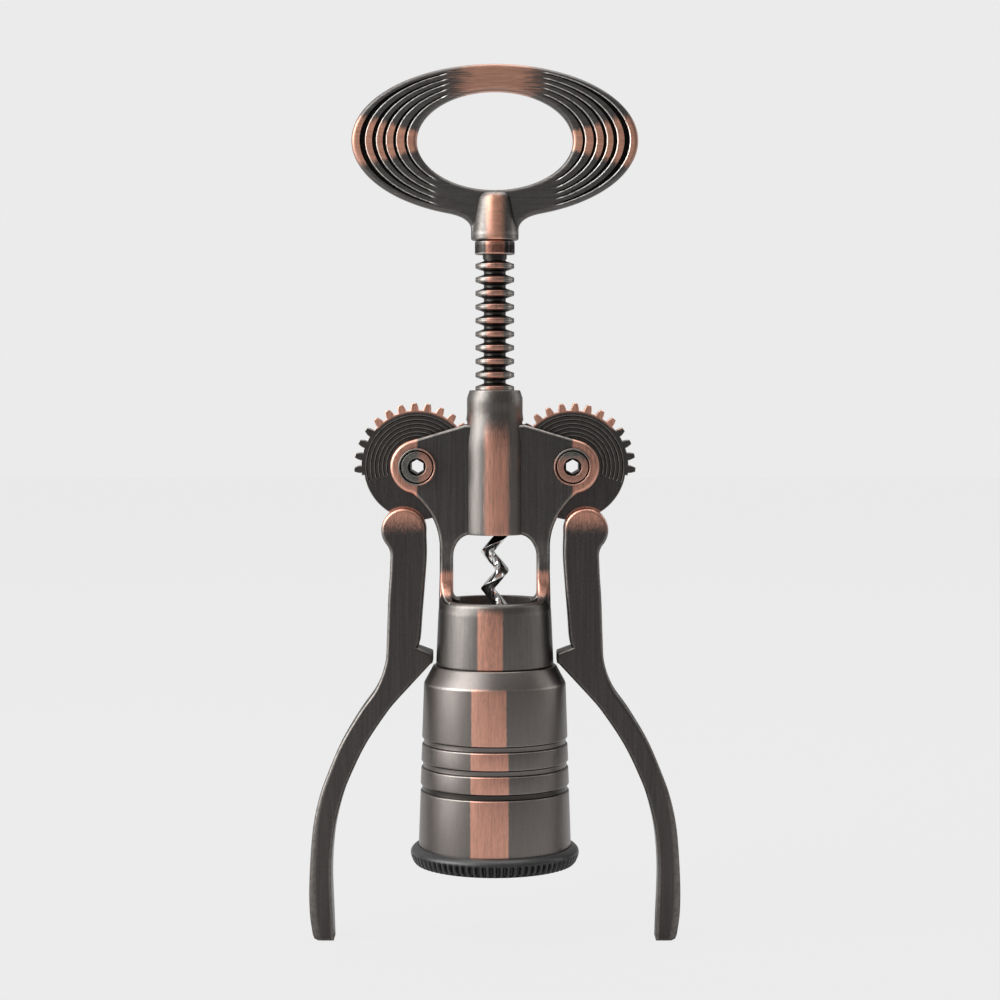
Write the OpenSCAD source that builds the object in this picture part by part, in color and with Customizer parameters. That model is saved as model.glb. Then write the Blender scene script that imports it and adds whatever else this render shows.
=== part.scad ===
// Wing corkscrew, in millimetres.
// The origin is at the middle of the bell's mouth, on the worm's axis. Z points up to the handle, X points
// to the right wing and Y points to the back. The wings hang down and the shaft is raised.

/* [Rack and gears] */
// Tooth module of the shaft's rack and of both gears
tooth_module = 1.25; // [1.24:0.01:1.26]
// Number of teeth that a whole gear would have
gear_teeth = 28; // [28:1:28]
// Height of a gear tooth above its pitch circle
gear_addendum = 0.8; // [0.7:0.05:0.9]
// Depth of a gear tooth below its pitch circle
gear_dedendum = 1.26; // [1.2:0.02:1.4]
// Slack between the teeth of gear and rack along the pitch line
tooth_backlash = 0.35; // [0.3:0.05:0.5]
// Radius of the shaft's rack at its pitch line
rack_pitch_r = 4.87; // [4.8:0.01:4.9]
// Height of the shaft's rings above their pitch line
rack_addendum = 0.76; // [0.7:0.02:0.8]
// Radius of the shaft between its rings
rack_neck_r = 3.15; // [3:0.05:3.2]
// Height of the rack's groove above the pivots at rest
rack_phase = 0.886; // [0.87:0.002:0.9]
// Thickness of a gear plate
gear_t = 4.2; // [3.8:0.1:4.3]
// Radius of the plain part of a gear plate
gear_plain_r = 15.5; // [15:0.1:16]
// Depth of the ring grooves in a gear's faces
gear_groove_depth = 0.3; // [0.2:0.05:0.5]
// Width of a ring groove in a gear's faces
gear_groove_w = 0.45; // [0.3:0.05:0.6]

/* [Frame] */
// Height of the pivots above the bell's mouth
pivot_z = 115.3; // [114:0.1:117]
// Thickness of the frame's plate from front to back
frame_t = 10; // [9.6:0.1:11]
// Radius of the ears round the pivots
ear_r = 7.8; // [7:0.1:8.2]
// Height of the column's upper end
column_top_z = 137.3; // [136.8:0.1:137.5]
// Radius of the column at its upper end
column_top_r = 7.33; // [7:0.05:7.8]
// Height at which the plate meets the column
column_mid_z = 127.4; // [126:0.1:129]
// Radius of the column where the plate meets it
column_mid_r = 8.22; // [7.9:0.05:8.6]
// Radius of the column's boss in the plate
boss_r = 9.12; // [8.8:0.05:9.3]
// Length over which the column widens into its boss
boss_taper_l = 3.4; // [2:0.1:5]
// Height of the window's upper edge
window_top_z = 95.66; // [95:0.1:97]
// Half the window's width
window_half_w = 12.1; // [11.5:0.1:12.4]
// Width of the window's upper corners
window_corner_w = 4.5; // [3:0.1:5]
// Height of the window's upper corners
window_corner_h = 6.4; // [4:0.1:7]
// Width of a leg
leg_w = 3.8; // [3.4:0.1:4.2]
// Depth of a leg from front to back
leg_t = 8; // [7:0.1:9]
// Radius with which a leg's face runs out onto the collar's rim
leg_fillet_r = 5; // [3:0.1:5.5]
// Height of the collar's rim
collar_top_z = 76.6; // [75:0.1:78]
// Outer radius of the collar at its rim
collar_top_r = 16.2; // [16:0.05:16.6]
// Height of the collar's lower edge
collar_bottom_z = 57.9; // [57.5:0.1:59]
// Outer radius of the collar at its lower edge
collar_bottom_r = 17.05; // [16.8:0.05:17.2]
// Thickness of the collar's wall at its rim
collar_wall = 1.8; // [1.6:0.05:2.1]
// Radius of the spigot below the collar
spigot_r = 15.9; // [15.7:0.05:16.1]
// Length of the spigot below the collar
spigot_l = 10.6; // [10:0.1:11]

/* [Handle] */
// Height of the ring's lower edge
ring_bottom_z = 187.2; // [187:0.1:188]
// Half the ring's width
ring_half_w = 41.3; // [40:0.1:42]
// Half the ring's height
ring_half_h = 22; // [21.5:0.1:23]
// Half the finger hole's width
hole_half_w = 22.5; // [22:0.1:23.5]
// Half the finger hole's height
hole_half_h = 14.2; // [13.8:0.1:14.6]
// Thickness of the ring from front to back
ring_t = 5; // [4.5:0.1:6]
// Number of grooves on each side of the ring
ring_grooves = 5; // [3:1:6]
// Width of a groove on the ring
ring_groove_w = 0.9; // [0.6:0.1:1.2]
// Depth of a groove on the ring
ring_groove_depth = 0.5; // [0.3:0.1:0.8]
// Height of the hub's lower face
hub_bottom_z = 180.6; // [180.4:0.1:181]
// Radius of the hub at its lower face
hub_bottom_r = 6.85; // [6.6:0.05:7.1]
// Height of the hub from its lower face to its round top
hub_h = 13.9; // [13:0.1:14.4]
// Radius of the hub near its top
hub_top_r = 4.7; // [4.4:0.1:5]

/* [Wings] */
// Height from a wing's tip up to its pivot
lever_l = 137.3; // [134:0.1:139]
// Thickness of a lever from front to back
lever_t = 10; // [9:0.1:11]
// Radius of a lever's round end
lever_end_r = 6.5; // [6:0.1:6.8]
// Radius of the hollow under a lever's round end
lever_neck_r = 5; // [4:0.1:6]
// Width of the gap between a stop lug and the collar
lug_gap = 0.85; // [0.6:0.05:1.5]

/* [Pivots] */
// Radius of a pivot screw's shank
pivot_r = 3; // [2.9:0.05:3.1]
// Radius of a pivot screw's head
pivot_head_r = 5.35; // [5:0.05:5.6]
// Height of a pivot screw's head
pivot_head_h = 1.8; // [1.5:0.1:2.2]
// Width across the flats of the hexagon through a pivot screw
hexagon_w = 3.7; // [3.5:0.1:3.9]
// Thickness of a gear bush's wall
bush_wall = 1; // [0.8:0.1:1.2]
// Thickness of a thrust washer
washer_t = 0.4; // [0.3:0.05:0.45]

/* [Bell] */
// Outer radius of the bell at its upper edge
bell_top_r = 17.8; // [17.6:0.05:18]
// Height of the bell's shoulder
shoulder_z = 52.6; // [52:0.1:53.5]
// Outer radius of the bell at its shoulder
shoulder_r = 20.55; // [20.3:0.05:20.8]
// Outer radius of the bell at its mouth
mouth_r = 22.3; // [22:0.05:22.6]
// Thickness of the bell's wall
bell_wall = 1.7; // [1.5:0.05:1.8]
// Height of the middle groove on the bell
bell_groove_z = 29.1; // [27:0.1:31]
// Distance between the grooves on the bell
bell_groove_step = 6.75; // [6:0.05:7.5]
// Width of a groove on the bell
bell_groove_w = 1.45; // [1:0.05:2]
// Depth of a groove on the bell
bell_groove_depth = 0.5; // [0.3:0.05:0.7]
// Width by which the base ring stands out from the bell's mouth
base_ring_w = 2.15; // [2:0.05:2.6]
// Height of the base ring
base_ring_h = 6; // [5.5:0.1:6.5]
// Number of ribs under the base ring
base_ribs = 76; // [60:1:80]
// Depth of the gaps between the ribs under the base ring
rib_depth = 0.9; // [0.6:0.1:1.2]
// Radius of the socket for the bottle's neck
socket_r = 15.1; // [14.8:0.05:15.3]
// Thickness of the neck guide's wall
guide_wall = 1.6; // [1.4:0.1:1.7]
// Radius of the hole through which the cork is drawn
cork_hole_r = 12.8; // [12.6:0.1:13.2]
// Thickness of the seat for the bottle's lip
seat_t = 3; // [2.5:0.1:4]

/* [Shaft and worm] */
// Radius of the collar under the handle's hub
shaft_collar_r = 5.75; // [5.65:0.01:5.78]
// Height of the collar under the handle's hub
shaft_collar_h = 3.9; // [3.5:0.1:4]
// Radius of the worm's centre line
worm_r = 2.4; // [2.2:0.05:2.6]
// Height of one turn of the worm
worm_pitch = 10.7; // [10:0.1:11]
// Height of the worm's tip
worm_tip_z = 53.75; // [53:0.1:56]
// Reach of the worm's sharp edge from its centre line
worm_wire_r = 1.45; // [1.3:0.05:1.5]
// Radius of the pin through the hub
handle_pin_r = 1.25; // [1.1:0.05:1.4]
// Radius of the pin through the worm's shank
worm_pin_r = 0.9; // [0.8:0.05:1]

/* [Hidden] */
$fn = 96;

// Clearances, small edges and the overrun of the cuts
over = 1;
fit_gap = 0.03;
running_gap = 0.08;
bore_gap = 0.2;
side_gap = 0.5;
seam = 0.25;
edge = 0.5;
pressure_angle = 20;

// Rack and gear sizes
tooth_pitch = PI * tooth_module;
gear_pitch_r = gear_teeth * tooth_module / 2;
gear_tip_r = gear_pitch_r + gear_addendum;
gear_root_r = gear_pitch_r - gear_dedendum;
gear_base_r = gear_pitch_r * cos(pressure_angle);
tooth_angle = 360 / gear_teeth;
half_tooth = (tooth_pitch - tooth_backlash) / 4;
rack_tip_r = rack_pitch_r + rack_addendum;
pivot_x = gear_pitch_r + rack_pitch_r;
tooth_phase = asin(rack_phase / gear_pitch_r);
teeth_below = 1;
teeth_above = 14;
rings_above = 14;
rings_below = 3;
gear_groove_shares = [0.80, 0.73, 0.665, 0.60, 0.535, 0.475];

// Places along the shaft
bore_r = rack_tip_r + bore_gap;
first_ring_z = pivot_z + rack_phase + tooth_pitch / 2;
rack_top_z = first_ring_z + (rings_above + 0.5) * tooth_pitch;
rack_bottom_z = first_ring_z - (rings_below + 0.5) * tooth_pitch;
shaft_neck_r = rack_neck_r + running_gap * 4;
tenon_l = hub_h * 0.72;
shank_r = worm_wire_r + edge / 2;
shank_l = tooth_pitch * 2.5;
worm_pin_z = rack_bottom_z + tooth_pitch * 1.5;
handle_pin_z = hub_bottom_z + tenon_l * 0.3;
ring_z = ring_bottom_z + ring_half_h;
ellipse_steps = 64;

// Places in the frame
slot_t = gear_t + side_gap * 2;
slot_r = gear_tip_r + side_gap;
leg_outer_x = window_half_w + leg_w;
web_top_x = column_mid_r + edge;
collar_bore_r = collar_top_r - collar_wall;
spigot_bottom_z = collar_bottom_z - spigot_l;
bell_slope = (mouth_r - shoulder_r) / shoulder_z;
base_ring_r = mouth_r + base_ring_w;

// The height between the pivots and the stop lugs, and between the lugs and the levers' tips
lug_drop = pivot_z - collar_bottom_z;
tip_drop = lever_l - lug_drop;
lug_x = pivot_x - collar_bottom_r - lug_gap;

// The centre of a lever's round end, as shares of the gear's radius
lever_end_shares = [-0.222, -0.995];
// A lever's outer and inner edge above its lug, as shares of the height between pivot and lug
arm_outer_shares = [[-0.143, -0.55], [-0.151, -0.669], [-0.158, -0.871], [-0.167, -0.99]];
arm_inner_shares = [[-0.007, -0.908], [0.005, -0.871], [0.014, -0.749], [0.029, -0.589], [0.043, -0.45]];
neck_x_share = -0.139;
lug_top_share = 0.935;
// A lever's outer edge, tip and inner edge below its lug, as shares of the height between lug and tip
blade_outer_shares = [[-0.153, -0.081], [-0.214, -0.168], [-0.283, -0.283], [-0.333, -0.399],
                      [-0.362, -0.486], [-0.384, -0.602], [-0.394, -0.776], [-0.392, -0.896],
                      [-0.380, -0.977]];
blade_tip_shares = [[-0.374, -0.993], [-0.359, -1], [-0.304, -1]];
blade_inner_shares = [[-0.304, -0.920], [-0.312, -0.746], [-0.304, -0.602], [-0.279, -0.486],
                      [-0.247, -0.399], [-0.191, -0.283], [-0.113, -0.168], [-0.061, -0.110]];

// A pivot screw's dish and the length that it reaches into its nut, as shares of its head's height
dish_share = 0.45;
tail_share = 0.8;

// The ring's plain patch at its top and round its hub, as shares of half its width
patch_top_share = 0.315;
patch_hub_share = 0.42;
groove_inner_share = 0.17;
groove_outer_share = 0.145;

// The web's lower curve from the ear into the leg, as shares of the distance between axis and pivot
web_ear_shares = [1.17, -0.28];
web_bend_shares = [0.74, -0.55];
web_leg_share = -1;

copper = "#a9705a";
gunmetal = "#5a554f";
dark = "#3a3735";
black = "#222222";
steel = "#8d8d90";
nylon = "#2e2d2c";

// Geometry helpers
function bend(a, b, c, t) = (1 - t) * (1 - t) * a + 2 * t * (1 - t) * b + t * t * c;
function knot(p, i) = p[max(0, min(len(p) - 1, i))];
function spline_point(a, b, c, d, t) =
    0.5 * (2 * b + (c - a) * t + (2 * a - 5 * b + 4 * c - d) * t * t + (3 * b - a - 3 * c + d) * t * t * t);
function spline(p, steps) = [
    for (i = [0 : len(p) - 2]) for (s = [0 : steps - 1])
        spline_point(knot(p, i - 1), p[i], p[i + 1], knot(p, i + 2), s / steps),
    p[len(p) - 1]];
function oval(a, b) = [for (i = [0 : ellipse_steps - 1])
    let (q = 360 * i / ellipse_steps) [a * cos(q), b * sin(q)]];
function arc(x, z, r, from, to, steps) = [for (i = [0 : steps])
    let (q = from + (to - from) * i / steps) [x + r * cos(q), z + r * sin(q)]];

// An outline in X and Z, as a plate of thickness t in the middle of Y
module plate(t) {
    translate([0, t / 2, 0]) rotate([90, 0, 0]) linear_extrude(t) children();
}

// A cylinder along Y from the place y
module rod(r, y, l) {
    translate([0, y, 0]) rotate([-90, 0, 0]) cylinder(h = l, r = r);
}

// Rack and gears
function ring_half_w_at(r) = half_tooth + (rack_pitch_r - r) * tan(pressure_angle);
function ring_profile(z) = [
    [rack_neck_r, z - ring_half_w_at(rack_neck_r)],
    [rack_tip_r - edge / 4, z - ring_half_w_at(rack_tip_r)],
    [rack_tip_r, z - ring_half_w_at(rack_tip_r) / 2],
    [rack_tip_r, z + ring_half_w_at(rack_tip_r) / 2],
    [rack_tip_r - edge / 4, z + ring_half_w_at(rack_tip_r)],
    [rack_neck_r, z + ring_half_w_at(rack_neck_r)]];

module rack_shaft() {
    rings = [for (k = [-rings_below : rings_above]) each ring_profile(first_ring_z + k * tooth_pitch)];
    color(steel) difference() {
        rotate_extrude() polygon(concat(
            [[0, rack_bottom_z], [rack_neck_r, rack_bottom_z]],
            rings,
            [[rack_neck_r, rack_top_z], [shaft_neck_r, rack_top_z],
             [shaft_neck_r, hub_bottom_z - fit_gap], [rack_neck_r, hub_bottom_z - fit_gap],
             [rack_neck_r, hub_bottom_z + tenon_l], [0, hub_bottom_z + tenon_l]]));
        translate([0, 0, rack_bottom_z - over]) cylinder(h = shank_l + over, r = shank_r + fit_gap);
        translate([0, 0, worm_pin_z]) rod(worm_pin_r + fit_gap, -rack_tip_r - over, 2 * (rack_tip_r + over));
        translate([0, 0, handle_pin_z]) rotate([0, 0, 90])
            rod(handle_pin_r + fit_gap, -rack_neck_r - over, 2 * (rack_neck_r + over));
    }
}

function involute(a) = tan(a) * 180 / PI - a;
function half_tooth_angle(r) = half_tooth / gear_pitch_r * 180 / PI + involute(pressure_angle)
    - involute(acos(min(1, gear_base_r / r)));
function polar(r, a) = [r * cos(a), r * sin(a)];
flank_radii = [gear_base_r, (gear_base_r + gear_pitch_r) / 2, gear_pitch_r,
               (gear_pitch_r + gear_tip_r) / 2, gear_tip_r];
function tooth(a) = concat(
    [polar(gear_root_r, a - tooth_angle / 2), polar(gear_root_r, a - half_tooth_angle(gear_base_r))],
    [for (r = flank_radii) polar(r, a - half_tooth_angle(r))],
    [for (i = [len(flank_radii) - 1 : -1 : 0]) polar(flank_radii[i], a + half_tooth_angle(flank_radii[i]))],
    [polar(gear_root_r, a + half_tooth_angle(gear_base_r)), polar(gear_root_r, a + tooth_angle / 2)]);

// The plate of the left gear round its own pivot
module gear_plate() {
    plate(gear_t) polygon(concat([[0, 0]],
        [for (i = [-teeth_below : teeth_above]) each tooth(tooth_phase + i * tooth_angle)]));
    plate(gear_t) circle(r = gear_plain_r);
}

module gear_grooves() {
    for (side = [-1, 1]) for (share = gear_groove_shares)
        translate([0, side * gear_t / 2, 0]) rotate([90, 0, 0])
            translate([0, 0, -gear_groove_depth]) difference() {
                cylinder(h = 2 * gear_groove_depth, r = gear_tip_r * share + gear_groove_w / 2);
                translate([0, 0, -over]) cylinder(h = 2 * (gear_groove_depth + over),
                                                  r = gear_tip_r * share - gear_groove_w / 2);
            }
}

// The lever of the left wing round its own pivot
function below_lug(shares) = [for (p = shares) [p[0] * tip_drop, p[1] * tip_drop - lug_drop]];
module lever() {
    end = lever_end_shares * gear_tip_r;
    neck_x = neck_x_share * lug_drop - lever_neck_r;
    reach = lever_end_r + lever_neck_r;
    neck_z = end[1] - sqrt(reach * reach - (end[0] - neck_x) * (end[0] - neck_x));
    lean = atan2(end[1] - neck_z, end[0] - neck_x);
    outer = concat(arm_outer_shares * lug_drop, below_lug(blade_outer_shares));
    plate(lever_t) polygon(concat(
        [end],
        arc(neck_x, neck_z, lever_neck_r, lean, 0, 6),
        spline(outer, 4),
        below_lug(blade_tip_shares),
        spline(below_lug(blade_inner_shares), 4),
        [[lug_x, edge - lug_drop], [lug_x - edge / 2, -lug_drop * lug_top_share]],
        arm_inner_shares * lug_drop,
        [end + [lever_end_r, 0]]));
    translate([end[0], 0, end[1]]) rod(lever_end_r, -lever_t / 2, lever_t);
}

module wing() {
    color(dark) difference() {
        union() {
            difference() {
                gear_plate();
                gear_grooves();
            }
            lever();
        }
        rod(pivot_r + bush_wall + fit_gap, -frame_t, 2 * frame_t);
    }
}

module left_wing() { translate([-pivot_x, 0, pivot_z]) wing(); }
module right_wing() { mirror([1, 0, 0]) left_wing(); }

// Frame
module web_outline() {
    ear = [pivot_x, pivot_z];
    corner = [web_top_x, column_mid_z];
    reach = norm(ear - corner);
    slope = atan2(ear[1] - corner[1], ear[0] - corner[0]) + asin(ear_r / reach);
    ear_point = [pivot_x * web_ear_shares[0], pivot_z + pivot_x * web_ear_shares[1]];
    bend_point = [pivot_x * web_bend_shares[0], pivot_z + pivot_x * web_bend_shares[1]];
    leg_point = [leg_outer_x, pivot_z + pivot_x * web_leg_share];
    polygon(concat(
        [[0, column_mid_z], corner,
         corner + sqrt(reach * reach - ear_r * ear_r) * [cos(slope), sin(slope)], ear],
        [for (i = [0 : 10]) bend(ear_point, bend_point, leg_point, i / 10)],
        [[leg_outer_x, window_top_z - window_corner_h], [0, window_top_z - window_corner_h]]));
}

module window_outline() {
    polygon(concat(
        [[0, collar_top_z + edge / 2], [window_half_w, collar_top_z + edge / 2]],
        [for (i = [0 : 8]) let (q = 90 * i / 8)
            [window_half_w - window_corner_w * (1 - cos(q)), window_top_z - window_corner_h * (1 - sin(q))]],
        [[0, window_top_z]]));
}

// The hollow round that leads a leg's front and rear face out onto the collar's rim
module leg_foot() {
    inner_y = leg_t / 2;
    front = arc(-inner_y - leg_fillet_r, collar_top_z + leg_fillet_r, leg_fillet_r, -90, 0, 8);
    rear = arc(inner_y + leg_fillet_r, collar_top_z + leg_fillet_r, leg_fillet_r, 180, 270, 8);
    intersection() {
        translate([window_half_w, 0, 0]) rotate([90, 0, 90]) linear_extrude(leg_w) polygon(concat(
            [[-inner_y - leg_fillet_r, collar_top_z - edge]], front, rear,
            [[inner_y + leg_fillet_r, collar_top_z - edge]]));
        translate([0, 0, collar_top_z - edge])
            cylinder(h = leg_fillet_r + edge, r = collar_top_r - edge / 2);
    }
}

module frame_half() {
    difference() {
        union() {
            plate(frame_t) web_outline();
            plate(leg_t) polygon([
                [0, collar_top_z - seat_t], [leg_outer_x, collar_top_z - seat_t],
                [leg_outer_x, window_top_z], [0, window_top_z]]);
            translate([pivot_x, 0, pivot_z]) rod(ear_r, -frame_t / 2, frame_t);
            leg_foot();
        }
        plate(frame_t + over) window_outline();
        translate([pivot_x, 0, pivot_z]) rod(slot_r, -slot_t / 2, slot_t);
        translate([pivot_x, 0, pivot_z]) rod(pivot_r + fit_gap, -frame_t, 2 * frame_t);
    }
}

module frame() {
    color(gunmetal) difference() {
        union() {
            frame_half();
            mirror([1, 0, 0]) frame_half();
            difference() {
                rotate_extrude() polygon([
                    [0, window_top_z], [boss_r, window_top_z], [boss_r, column_mid_z - boss_taper_l],
                    [column_mid_r, column_mid_z], [column_top_r, column_top_z - edge],
                    [column_top_r - edge, column_top_z], [0, column_top_z]]);
                for (side = [-1, 1])
                    translate([side * pivot_x, 0, pivot_z]) rod(slot_r, -slot_t / 2, slot_t);
            }
            rotate_extrude() polygon([
                [0, spigot_bottom_z], [spigot_r, spigot_bottom_z], [spigot_r, collar_bottom_z],
                [collar_bottom_r, collar_bottom_z], [collar_top_r, collar_top_z - edge],
                [collar_top_r - edge, collar_top_z], [0, collar_top_z]]);
        }
        translate([0, 0, window_top_z - over])
            cylinder(h = column_top_z - window_top_z + 2 * over, r = bore_r);
        translate([0, 0, spigot_bottom_z - over])
            cylinder(h = collar_top_z - spigot_bottom_z + over + edge / 2, r = collar_bore_r);
    }
}

// Pivots
module pivot_screw() {
    y = -frame_t / 2 - pivot_head_h;
    dish_depth = pivot_head_h * dish_share;
    tail_y = frame_t / 2 + pivot_head_h * tail_share;
    color(gunmetal) difference() {
        rotate([-90, 0, 0]) rotate_extrude() polygon([
            [0, y + dish_depth], [pivot_r - edge / 2, y + dish_depth], [pivot_r, y + edge / 2],
            [pivot_r + edge, y], [pivot_head_r - edge, y], [pivot_head_r, y + edge],
            [pivot_head_r, -frame_t / 2], [pivot_r, -frame_t / 2], [pivot_r, tail_y], [0, tail_y]]);
        rotate([-90, 30, 0]) translate([0, 0, -frame_t])
            cylinder(h = 2 * frame_t, r = hexagon_w / sqrt(3), $fn = 6);
    }
}

module pivot_nut() {
    back_y = frame_t / 2 + pivot_head_h;
    color(gunmetal) rotate([-90, 0, 0]) rotate_extrude() polygon([
        [pivot_r + fit_gap, frame_t / 2], [pivot_head_r, frame_t / 2],
        [pivot_head_r, back_y - edge], [pivot_head_r - edge, back_y],
        [pivot_r + edge, back_y], [pivot_r + fit_gap, back_y - edge]]);
}

module thrust_washers() {
    gap = (slot_t - gear_t) / 2 - washer_t;
    color(nylon) for (y = [-slot_t / 2 + gap / 2, slot_t / 2 - gap / 2 - washer_t])
        difference() {
            rod(ear_r - edge, y, washer_t);
            rod(pivot_r + fit_gap, y - over, washer_t + 2 * over);
        }
}

module gear_bush() {
    color(copper) difference() {
        rod(pivot_r + bush_wall, -gear_t / 2, gear_t);
        rod(pivot_r + running_gap, -gear_t, 2 * gear_t);
    }
}

module left_pivot() { translate([-pivot_x, 0, pivot_z]) children(); }
module right_pivot() { translate([pivot_x, 0, pivot_z]) children(); }

// Bell, base ring and neck guide
function bell_r(z) = mouth_r - bell_slope * z;

module bell() {
    top_z = collar_bottom_z - seam;
    foot_z = rib_depth + edge;
    color(gunmetal) difference() {
        rotate_extrude() polygon([
            [spigot_r + fit_gap, top_z], [bell_top_r, top_z], [shoulder_r, shoulder_z],
            [bell_r(foot_z), foot_z], [bell_r(foot_z) - bell_wall, foot_z],
            [bell_r(spigot_bottom_z) - bell_wall, spigot_bottom_z - seam],
            [spigot_r + fit_gap, spigot_bottom_z + bell_wall]]);
        for (k = [-1 : 1]) translate([0, 0, bell_groove_z + k * bell_groove_step - bell_groove_w / 2])
            difference() {
                cylinder(h = bell_groove_w, r = mouth_r + over);
                translate([0, 0, -over]) cylinder(h = bell_groove_w + 2 * over,
                    r = bell_r(bell_groove_z + k * bell_groove_step) - bell_groove_depth);
            }
    }
}

module base_ring() {
    foot_z = rib_depth + edge;
    color(black) difference() {
        rotate_extrude() polygon([
            [bell_r(0) - bell_wall, 0], [base_ring_r - base_ring_w * 0.6, 0],
            [base_ring_r - base_ring_w * 0.2, base_ring_h * 0.25], [base_ring_r, base_ring_h * 0.5],
            [base_ring_r - base_ring_w * 0.05, base_ring_h * 0.7],
            [base_ring_r - base_ring_w * 0.25, base_ring_h * 0.88],
            [base_ring_r - base_ring_w * 0.6, base_ring_h],
            [bell_r(base_ring_h) + fit_gap, base_ring_h], [bell_r(foot_z) + fit_gap, foot_z - fit_gap],
            [bell_r(0) - bell_wall, foot_z - fit_gap]]);
        for (i = [0 : base_ribs - 1]) rotate([0, 0, (i + 0.5) * 360 / base_ribs])
            translate([mouth_r + edge, -PI * mouth_r / base_ribs / 2, -over])
                cube([base_ring_r - mouth_r + over, PI * mouth_r / base_ribs, rib_depth + over]);
    }
}

module neck_guide() {
    top_z = spigot_bottom_z - seam;
    flange_t = rib_depth + edge;
    flange_r = bell_r(0) - bell_wall - fit_gap;
    color(nylon) rotate_extrude() polygon([
        [socket_r, 0], [flange_r, 0], [flange_r, flange_t], [socket_r + guide_wall, flange_t],
        [socket_r + guide_wall, top_z], [cork_hole_r + edge, top_z], [cork_hole_r, top_z - edge],
        [cork_hole_r, top_z - seat_t], [socket_r, top_z - seat_t]]);
}

// Shaft collar, worm and pins
module shaft_collar() {
    top_z = hub_bottom_z - side_gap / 2;
    color(black) rotate_extrude() polygon([
        [shaft_neck_r + running_gap, top_z - shaft_collar_h],
        [shaft_collar_r - edge / 2, top_z - shaft_collar_h],
        [shaft_collar_r, top_z - shaft_collar_h + edge / 2], [shaft_collar_r, top_z - edge / 2],
        [shaft_collar_r - edge / 2, top_z], [shaft_neck_r + running_gap, top_z]]);
}

// The worm's coil is one bar along a screw line that draws in to the shank above and to a point below.
// The bar's section is given outwards and upwards, as shares of its half width, with its sharp edge outwards
blade_shares = [[1, 0], [0.3, 0.42], [-0.6, 0.72], [-1.3, 0.55], [-1.5, 0], [-1.3, -0.55], [-0.6, -0.72],
                [0.3, -0.42]];
coil_sides = len(blade_shares);
coil_steps = 16;
coil_start_angle = -90;
coil_top_z = rack_bottom_z - edge;
coil_turns = (coil_top_z - worm_tip_z) / worm_pitch;
coil_rings = round(coil_turns * coil_steps);
inner_reach_share = 0.9;
lead_in_share = 0.12;
point_share = 0.10;
function coil_reach(u) = worm_r * min(1, u / lead_in_share);
function coil_wire(u) = worm_wire_r * min(1, (1 - u) / point_share + 0.12);
function coil_angle(u) = coil_start_angle - 360 * coil_turns * u;
function coil_point(u) = let (q = coil_angle(u))
    [coil_reach(u) * cos(q), coil_reach(u) * sin(q), coil_top_z - worm_pitch * coil_turns * u];
function coil_ring(u) =
    let (q = coil_angle(u), p = coil_point(u),
         lean = atan2(worm_pitch, 2 * PI * worm_r), w = coil_wire(u),
         out = [cos(q), sin(q), 0], up = [sin(q) * sin(lean), -cos(q) * sin(lean), cos(lean)])
    [for (j = [0 : coil_sides - 1])
        p + max(w * blade_shares[j][0], -inner_reach_share * coil_reach(u)) * out
          + w * blade_shares[j][1] * up];
coil_gap = worm_pitch * cos(atan2(worm_pitch, 2 * PI * worm_r)) - 2 * worm_wire_r;
echo(worm_gap = coil_gap);

module coil() {
    points = [for (i = [0 : coil_rings]) each coil_ring(i / coil_rings)];
    sides = [for (i = [0 : coil_rings - 1]) for (j = [0 : coil_sides - 1])
        let (a = i * coil_sides + j, b = i * coil_sides + (j + 1) % coil_sides)
        each [[a, a + coil_sides, b], [b, a + coil_sides, b + coil_sides]]];
    first = [for (j = [1 : coil_sides - 2]) [0, j, j + 1]];
    last = [for (j = [1 : coil_sides - 2]) let (s = coil_rings * coil_sides) [s, s + j + 1, s + j]];
    polyhedron(points, concat(sides, first, last));
}

module worm() {
    color(steel) difference() {
        union() {
            coil();
            translate([0, 0, coil_top_z - edge]) cylinder(h = shank_l + edge, r = shank_r);
        }
        translate([0, 0, worm_pin_z]) rod(worm_pin_r + fit_gap, -shank_r - over, 2 * (shank_r + over));
    }
}

module worm_pin() {
    color(steel) translate([0, 0, worm_pin_z]) rod(worm_pin_r, -rack_neck_r, 2 * rack_neck_r);
}

module handle_pin() {
    half_l = hub_bottom_r - edge * 2;
    color(steel) translate([0, 0, handle_pin_z]) rotate([0, 0, 90]) rod(handle_pin_r, -half_l, 2 * half_l);
}

// Handle
module ring_groove(k) {
    share = groove_outer_share + k * (1 - groove_inner_share - groove_outer_share) / (ring_grooves - 1);
    a = ring_half_w + (hole_half_w - ring_half_w) * share;
    b = ring_half_h + (hole_half_h - ring_half_h) * share;
    difference() {
        polygon(oval(a + ring_groove_w / 2, b + ring_groove_w / 2));
        polygon(oval(a - ring_groove_w / 2, b - ring_groove_w / 2));
        polygon([
            [-ring_half_w * patch_hub_share, -ring_half_h - over],
            [ring_half_w * patch_hub_share, -ring_half_h - over],
            [ring_half_w * patch_top_share, ring_half_h + over],
            [-ring_half_w * patch_top_share, ring_half_h + over]]);
    }
}

module ring_outline() {
    difference() {
        polygon(oval(ring_half_w, ring_half_h));
        polygon(oval(hole_half_w, hole_half_h));
    }
}

module hub() {
    round_r = hub_top_r / 2;
    rotate_extrude() polygon(concat(
        [[0, hub_bottom_z], [hub_bottom_r - edge / 2, hub_bottom_z], [hub_bottom_r, hub_bottom_z + edge / 2],
         [hub_bottom_r, hub_bottom_z + edge * 4]],
        arc(hub_top_r - round_r, hub_bottom_z + hub_h - round_r, round_r, 0, 90, 6),
        [[0, hub_bottom_z + hub_h]]));
}

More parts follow.
